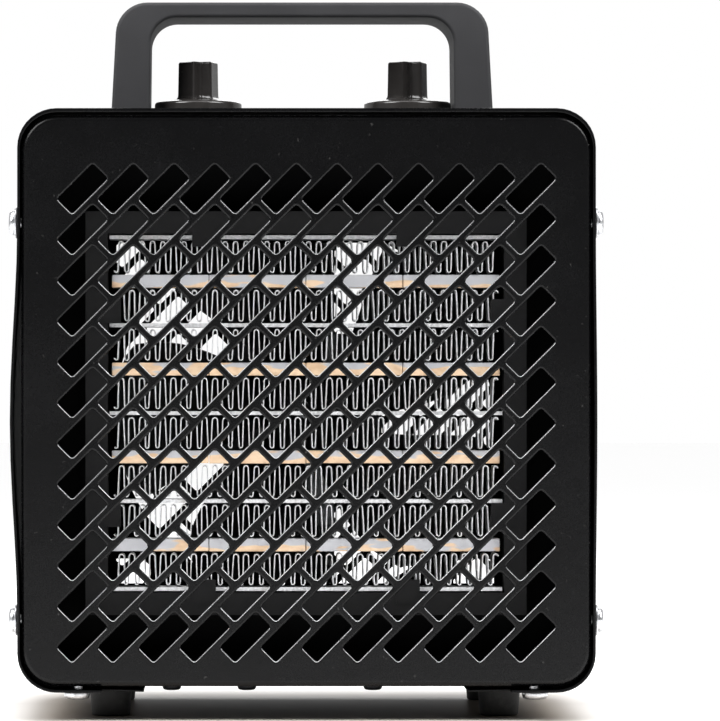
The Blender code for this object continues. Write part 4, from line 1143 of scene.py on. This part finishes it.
def make_fan():
    low, high = BOX["fan_impeller"]
    middle_y = (low.y + high.y) / 2
    hub, tip = 0.016, 0.0660
    half_chord, sweep, first = math.radians(28.5), math.radians(14.0), math.radians(25.0)
    only(None)
    bpy.ops.mesh.primitive_grid_add(x_subdivisions=10, y_subdivisions=10, size=2.0)
    blade = named("blade")
    edit(blade)

    def blade_point(point):
        out, across = (point.x + 1) / 2, point.y
        round_off = 1.0 - 0.15 * max(0.0, out - 0.55) ** 2 * across ** 2 * 4
        radius = hub - 0.003 + (tip - hub + 0.003) * out * (1.0 - 0.05 * across ** 4 * out)
        turn = sweep * out + half_chord * across * round_off
        rise = across * 0.0056 * round_off + 0.0008 * (1 - across ** 2)
        return Vector((radius * math.cos(turn), rise, radius * math.sin(turn)))

    move_points(blade, blade_point)
    done()
    modify(blade, "SOLIDIFY", thickness=0.0013, offset=0.0)
    ease(blade, 0.0004, 2, 60.0)
    blades = []
    for i in range(BLADES):
        turn = Matrix.Rotation(-(first + math.tau * i / BLADES), 4, "Y")
        place = Matrix.Translation((0, middle_y, AXIS_Z)) @ turn
        blades.append(copy_of(blade, "blade_copy", place))
    bpy.data.objects.remove(blade)
    reach = high.y - low.y
    stations = [
        (0.0040, reach - 0.0010), (0.0045, reach), (0.0100, reach), (0.0128, reach - 0.0006),
        (0.0150, reach - 0.0024), (0.0159, reach - 0.0050), (0.0160, 0.0004), (0.0156, 0.0),
        (0.0110, 0.0), (0.0106, 0.0060), (0.0040, 0.0060),
    ]
    body = turned("hub", stations, 64)
    body.matrix_world = pointing((0, high.y, AXIS_Z), (0, -1, 0))
    settle(body)
    obj = join("fan_rotor", [body, *blades])
    smooth(obj, weighted=True)
    hand_over(obj, "fan", "fan_moulding", "fan_impeller")


def make_bushing():
    low, high = BOX["cord_bushing"]
    middle = centre_of("cord_bushing")
    reach = high.y - BOX["rear_panel"][1].y
    stations = [
        (0.0036, reach - 0.0005), (0.0041, reach), (0.0047, reach), (0.0052, reach - 0.0005),
        (0.0060, 0.0022), (0.0066, 0.0020), (0.0086, 0.0020), (0.0090, 0.0016),
        (0.0090, 0.0003), (0.0060, 0.0003), (0.0060, -0.0011), (0.0074, -0.0011),
        (0.0060, low.y - BOX["rear_panel"][1].y), (0.0036, low.y - BOX["rear_panel"][1].y),
    ]
    obj = turned("cord_gland", stations, 48, ring=True)
    obj.matrix_world = pointing((middle.x, BOX["rear_panel"][1].y, middle.z), (0, 1, 0))
    settle(obj)
    smooth(obj, weighted=True)
    hand_over(obj, "cabinet", "holder_moulding", "cord_bushing")


# ---- Stage ----


def add_softbox(name, place, target, width, depth, power):
    data = bpy.data.lights.new(name, "AREA")
    data.shape = "RECTANGLE"
    data.size, data.size_y = width, depth
    data.energy = power
    light = bpy.data.objects.new(name, data)
    bpy.context.scene.collection.objects.link(light)
    light.location = place
    light.rotation_euler = (Vector(target) - Vector(place)).to_track_quat("-Z", "Y").to_euler()
    light.visible_camera = False


def make_world():
    world = bpy.data.worlds.new("studio")
    bpy.context.scene.world = world
    f = Finish(world, "Generated")
    background = f.tree.nodes["Background"]
    facing = f.part_of_place("Y").between(-0.8, 0.4, 0.05, 0.60)
    seen = f.node("LightPath", output="Is Camera Ray")
    f.put(background.inputs["Color"], (1.0, 1.0, 1.0, 1.0))
    f.put(background.inputs["Strength"], f.node("Math", {0: facing, 1: seen}, operation="MAXIMUM"))


def make_floor():
    only(None)
    bpy.ops.mesh.primitive_plane_add(size=24.0)
    floor = named("studio_floor")
    edit(floor)
    bpy.ops.mesh.select_all(action="SELECT")
    bpy.ops.mesh.subdivide(number_cuts=4)
    done()
    material = bpy.data.materials.new("floor_paper")
    f = Finish(material)
    cloud = f.noise(0.5, 2.0)
    base = tuple(colours().floor)
    x, y = f.part_of_place("X"), f.part_of_place("Y")
    # across and along mark the painted shadow under the heater.
    across = f.node("Math", {0: x}, operation="ABSOLUTE").between(0.080, 0.125, 1.0, 0.0)
    along = f.node("Math", {0: y}, operation="ABSOLUTE").between(0.060, 0.130, 1.0, 0.0)
    shade = across * along
    # The paper glows like an overlit sweep, but not far in front of the heater, and not under it,
    # where the cut glow and a brown tint make a painted shadow.
    front = y.between(-1.0, -0.15, 0.05, 1.0) * y.between(-0.05, 0.10, 1.0, 0.0)
    seen = f.node("LightPath", output="Is Camera Ray") * y.between(-0.05, 0.10, 0.0, 0.75) + 0.25
    glow = f.node("Math", {0: front, 1: seen}, operation="MAXIMUM") * (1.0 - shade)
    # Under the heater the paper is tinted brown and its glow is cut: a painted shadow.
    f.shade(
        Base_Color=f.mix(shade, f.mix(cloud, base, tint(base, 1.03)), (0.40, 0.34, 0.28)),
        Roughness=cloud * 0.1 + 0.4,
        Emission_Color=f.mix(glow, (0.0, 0.0, 0.0), (1.0, 1.0, 1.0)),
        Emission_Strength=0.62,
    )
    floor.data.materials.append(material)


def make_camera():
    """A long lens at the height of the slots' middle, a little left of the heater's middle."""
    camera = bpy.data.cameras.new("studio_camera")
    camera.lens = 252.0
    camera.sensor_width = 36.0
    camera.shift_x = 0.1886
    camera.shift_y = 0.0603
    camera.clip_start, camera.clip_end = 0.05, 60.0
    obj = bpy.data.objects.new("studio_camera", camera)
    bpy.context.scene.collection.objects.link(obj)
    obj.location = (-0.0278, FRONT - 1.70, 0.1069)
    obj.rotation_euler = (math.radians(90), 0, 0)
    bpy.context.scene.camera = obj


def make_stage():
    scene = bpy.context.scene
    scene.view_settings.view_transform = "Standard"
    make_world()
    make_floor()
    make_camera()
    add_softbox("top_light", (0.0, -0.15, 1.3), (0, 0, 0.1), 1.0, 0.7, 12.0)
    for side, x in (("left", -1.0), ("right", 1.0)):
        add_softbox(side + "_light", (x, -0.75, 1.15), (0, 0, 0.1), 0.8, 0.9, 30.0)
    add_softbox("back_light", (0.0, 1.7, 0.9), (0, 0, 0.1), 1.4, 0.7, 10.0)


# ---- Add-on ----


class HeaterOperator:
    bl_options = {"REGISTER", "UNDO"}

    def execute(self, context):
        self.make()
        return {"FINISHED"}


class HEATER_OT_stage(HeaterOperator, bpy.types.Operator):
    """Set up the floor, the soft lights and the camera"""

    bl_idname = "heater.stage"
    bl_label = "Stage"

    def make(self):
        make_stage()


class HEATER_OT_shell(HeaterOperator, bpy.types.Operator):
    """Fold the cabinet's wrap of sheet steel"""

    bl_idname = "heater.shell"
    bl_label = "Cabinet shell"

    def make(self):
        make_shell()


class HEATER_OT_panels(HeaterOperator, bpy.types.Operator):
    """Press the slotted front panel and the rear intake panel"""

    bl_idname = "heater.panels"
    bl_label = "Slotted panels"

    def make(self):
        make_panel("front_grille", "front_panel", -1)
        make_panel("rear_grille", "rear_panel", 1)


class HEATER_OT_handle(HeaterOperator, bpy.types.Operator):
    """Mould the carrying handle"""

    bl_idname = "heater.handle"
    bl_label = "Handle"

    def make(self):
        make_handle()


class HEATER_OT_knobs(HeaterOperator, bpy.types.Operator):
    """Mould the two lobed knobs"""

    bl_idname = "heater.knobs"
    bl_label = "Knobs"

    def make(self):
        make_knob("thermostat_dial_knob", "thermostat_knob", "thermostat_dial")
        make_knob("switch_dial_knob", "switch_knob", "switch_dial")


class HEATER_OT_screws(HeaterOperator, bpy.types.Operator):
    """Make the screws of the cabinet and the base"""

    bl_idname = "heater.screws"
    bl_label = "Screws"

    def make(self):
        make_screws()


class HEATER_OT_feet(HeaterOperator, bpy.types.Operator):
    """Mould the four rubber feet"""

    bl_idname = "heater.feet"
    bl_label = "Feet"

    def make(self):
        make_feet()


class HEATER_OT_element(HeaterOperator, bpy.types.Operator):
    """Fold the fins and set the heating stones between them"""

    bl_idname = "heater.element"
    bl_label = "Heating element"

    def make(self):
        make_fins()
        make_stones()


class HEATER_OT_fan(HeaterOperator, bpy.types.Operator):
    """Press the fan's duct and mould the fan's hub and blades"""

    bl_idname = "heater.fan"
    bl_label = "Fan and duct"

    def make(self):
        make_duct()
        make_fan()


class HEATER_OT_bushing(HeaterOperator, bpy.types.Operator):
    """Turn the lined hole for a supply cord"""

    bl_idname = "heater.bushing"
    bl_label = "Cord gland"

    def make(self):
        make_bushing()


class HEATER_OT_inner_finishes(HeaterOperator, bpy.types.Operator):
    """Give the inner pieces, which keep their frame shape, their finishes"""

    bl_idname = "heater.inner_finishes"
    bl_label = "Inner finishes"

    def make(self):
        kept = {
            # The base and baffle plates get the near-black inner coat, partly painted shade.
            "inner_coat": ("base_plate", "baffle_plate"),
            "inner_sheet": ("motor_bracket",),
            "element_aluminium": (
                "top_plate", "bottom_plate", "middle_plate_1", "middle_plate_2", "middle_plate_3",
            ),
            "holder_moulding": (
                "element_frame", "thermostat_body", "switch_body", "thermal_cutout",
            ),
            "turned_steel": ("motor_shaft", "thermostat_spindle", "switch_spindle"),
            "zinc_screws": ("handle_screw_left", "handle_screw_right"),
            "motor_steel": ("motor_body",),
            "white_block": ("terminal_block",),
        }
        for slot, nodes in kept.items():
            for node in nodes:
                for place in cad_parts[node].material_slots:
                    place.material = finish_named(slot)


class HEATER_PT_pieces(bpy.types.Panel):
    """The sizes, colours and pieces of the heater"""

    bl_idname = "HEATER_PT_pieces"
    bl_label = "Ceramic heater"
    bl_space_type = "VIEW_3D"
    bl_region_type = "UI"
    bl_category = "Heater"

    def draw(self, context):
        for operator in OPERATORS:
            self.layout.operator(operator.bl_idname)
        for group in (context.scene.heater_sizes, context.scene.heater_colours):
            for key in group.bl_rna.properties.keys():
                if key not in ("rna_type", "name"):
                    self.layout.prop(group, key)


OPERATORS = (
    HEATER_OT_stage,
    HEATER_OT_shell,
    HEATER_OT_panels,
    HEATER_OT_handle,
    HEATER_OT_knobs,
    HEATER_OT_screws,
    HEATER_OT_feet,
    HEATER_OT_element,
    HEATER_OT_fan,
    HEATER_OT_bushing,
    HEATER_OT_inner_finishes,
)
CLASSES = (HeaterSizes, HeaterColours, *OPERATORS, HEATER_PT_pieces)


def register():
    for cls in CLASSES:
        bpy.utils.register_class(cls)
    bpy.types.Scene.heater_sizes = PointerProperty(type=HeaterSizes)
    bpy.types.Scene.heater_colours = PointerProperty(type=HeaterColours)


def unregister():
    del bpy.types.Scene.heater_colours
    del bpy.types.Scene.heater_sizes
    for cls in reversed(CLASSES):
        bpy.utils.unregister_class(cls)


def main():
    register()
    for operator in OPERATORS:
        getattr(bpy.ops.heater, operator.bl_idname.removeprefix("heater."))()


if __name__ == "__main__":
    main()
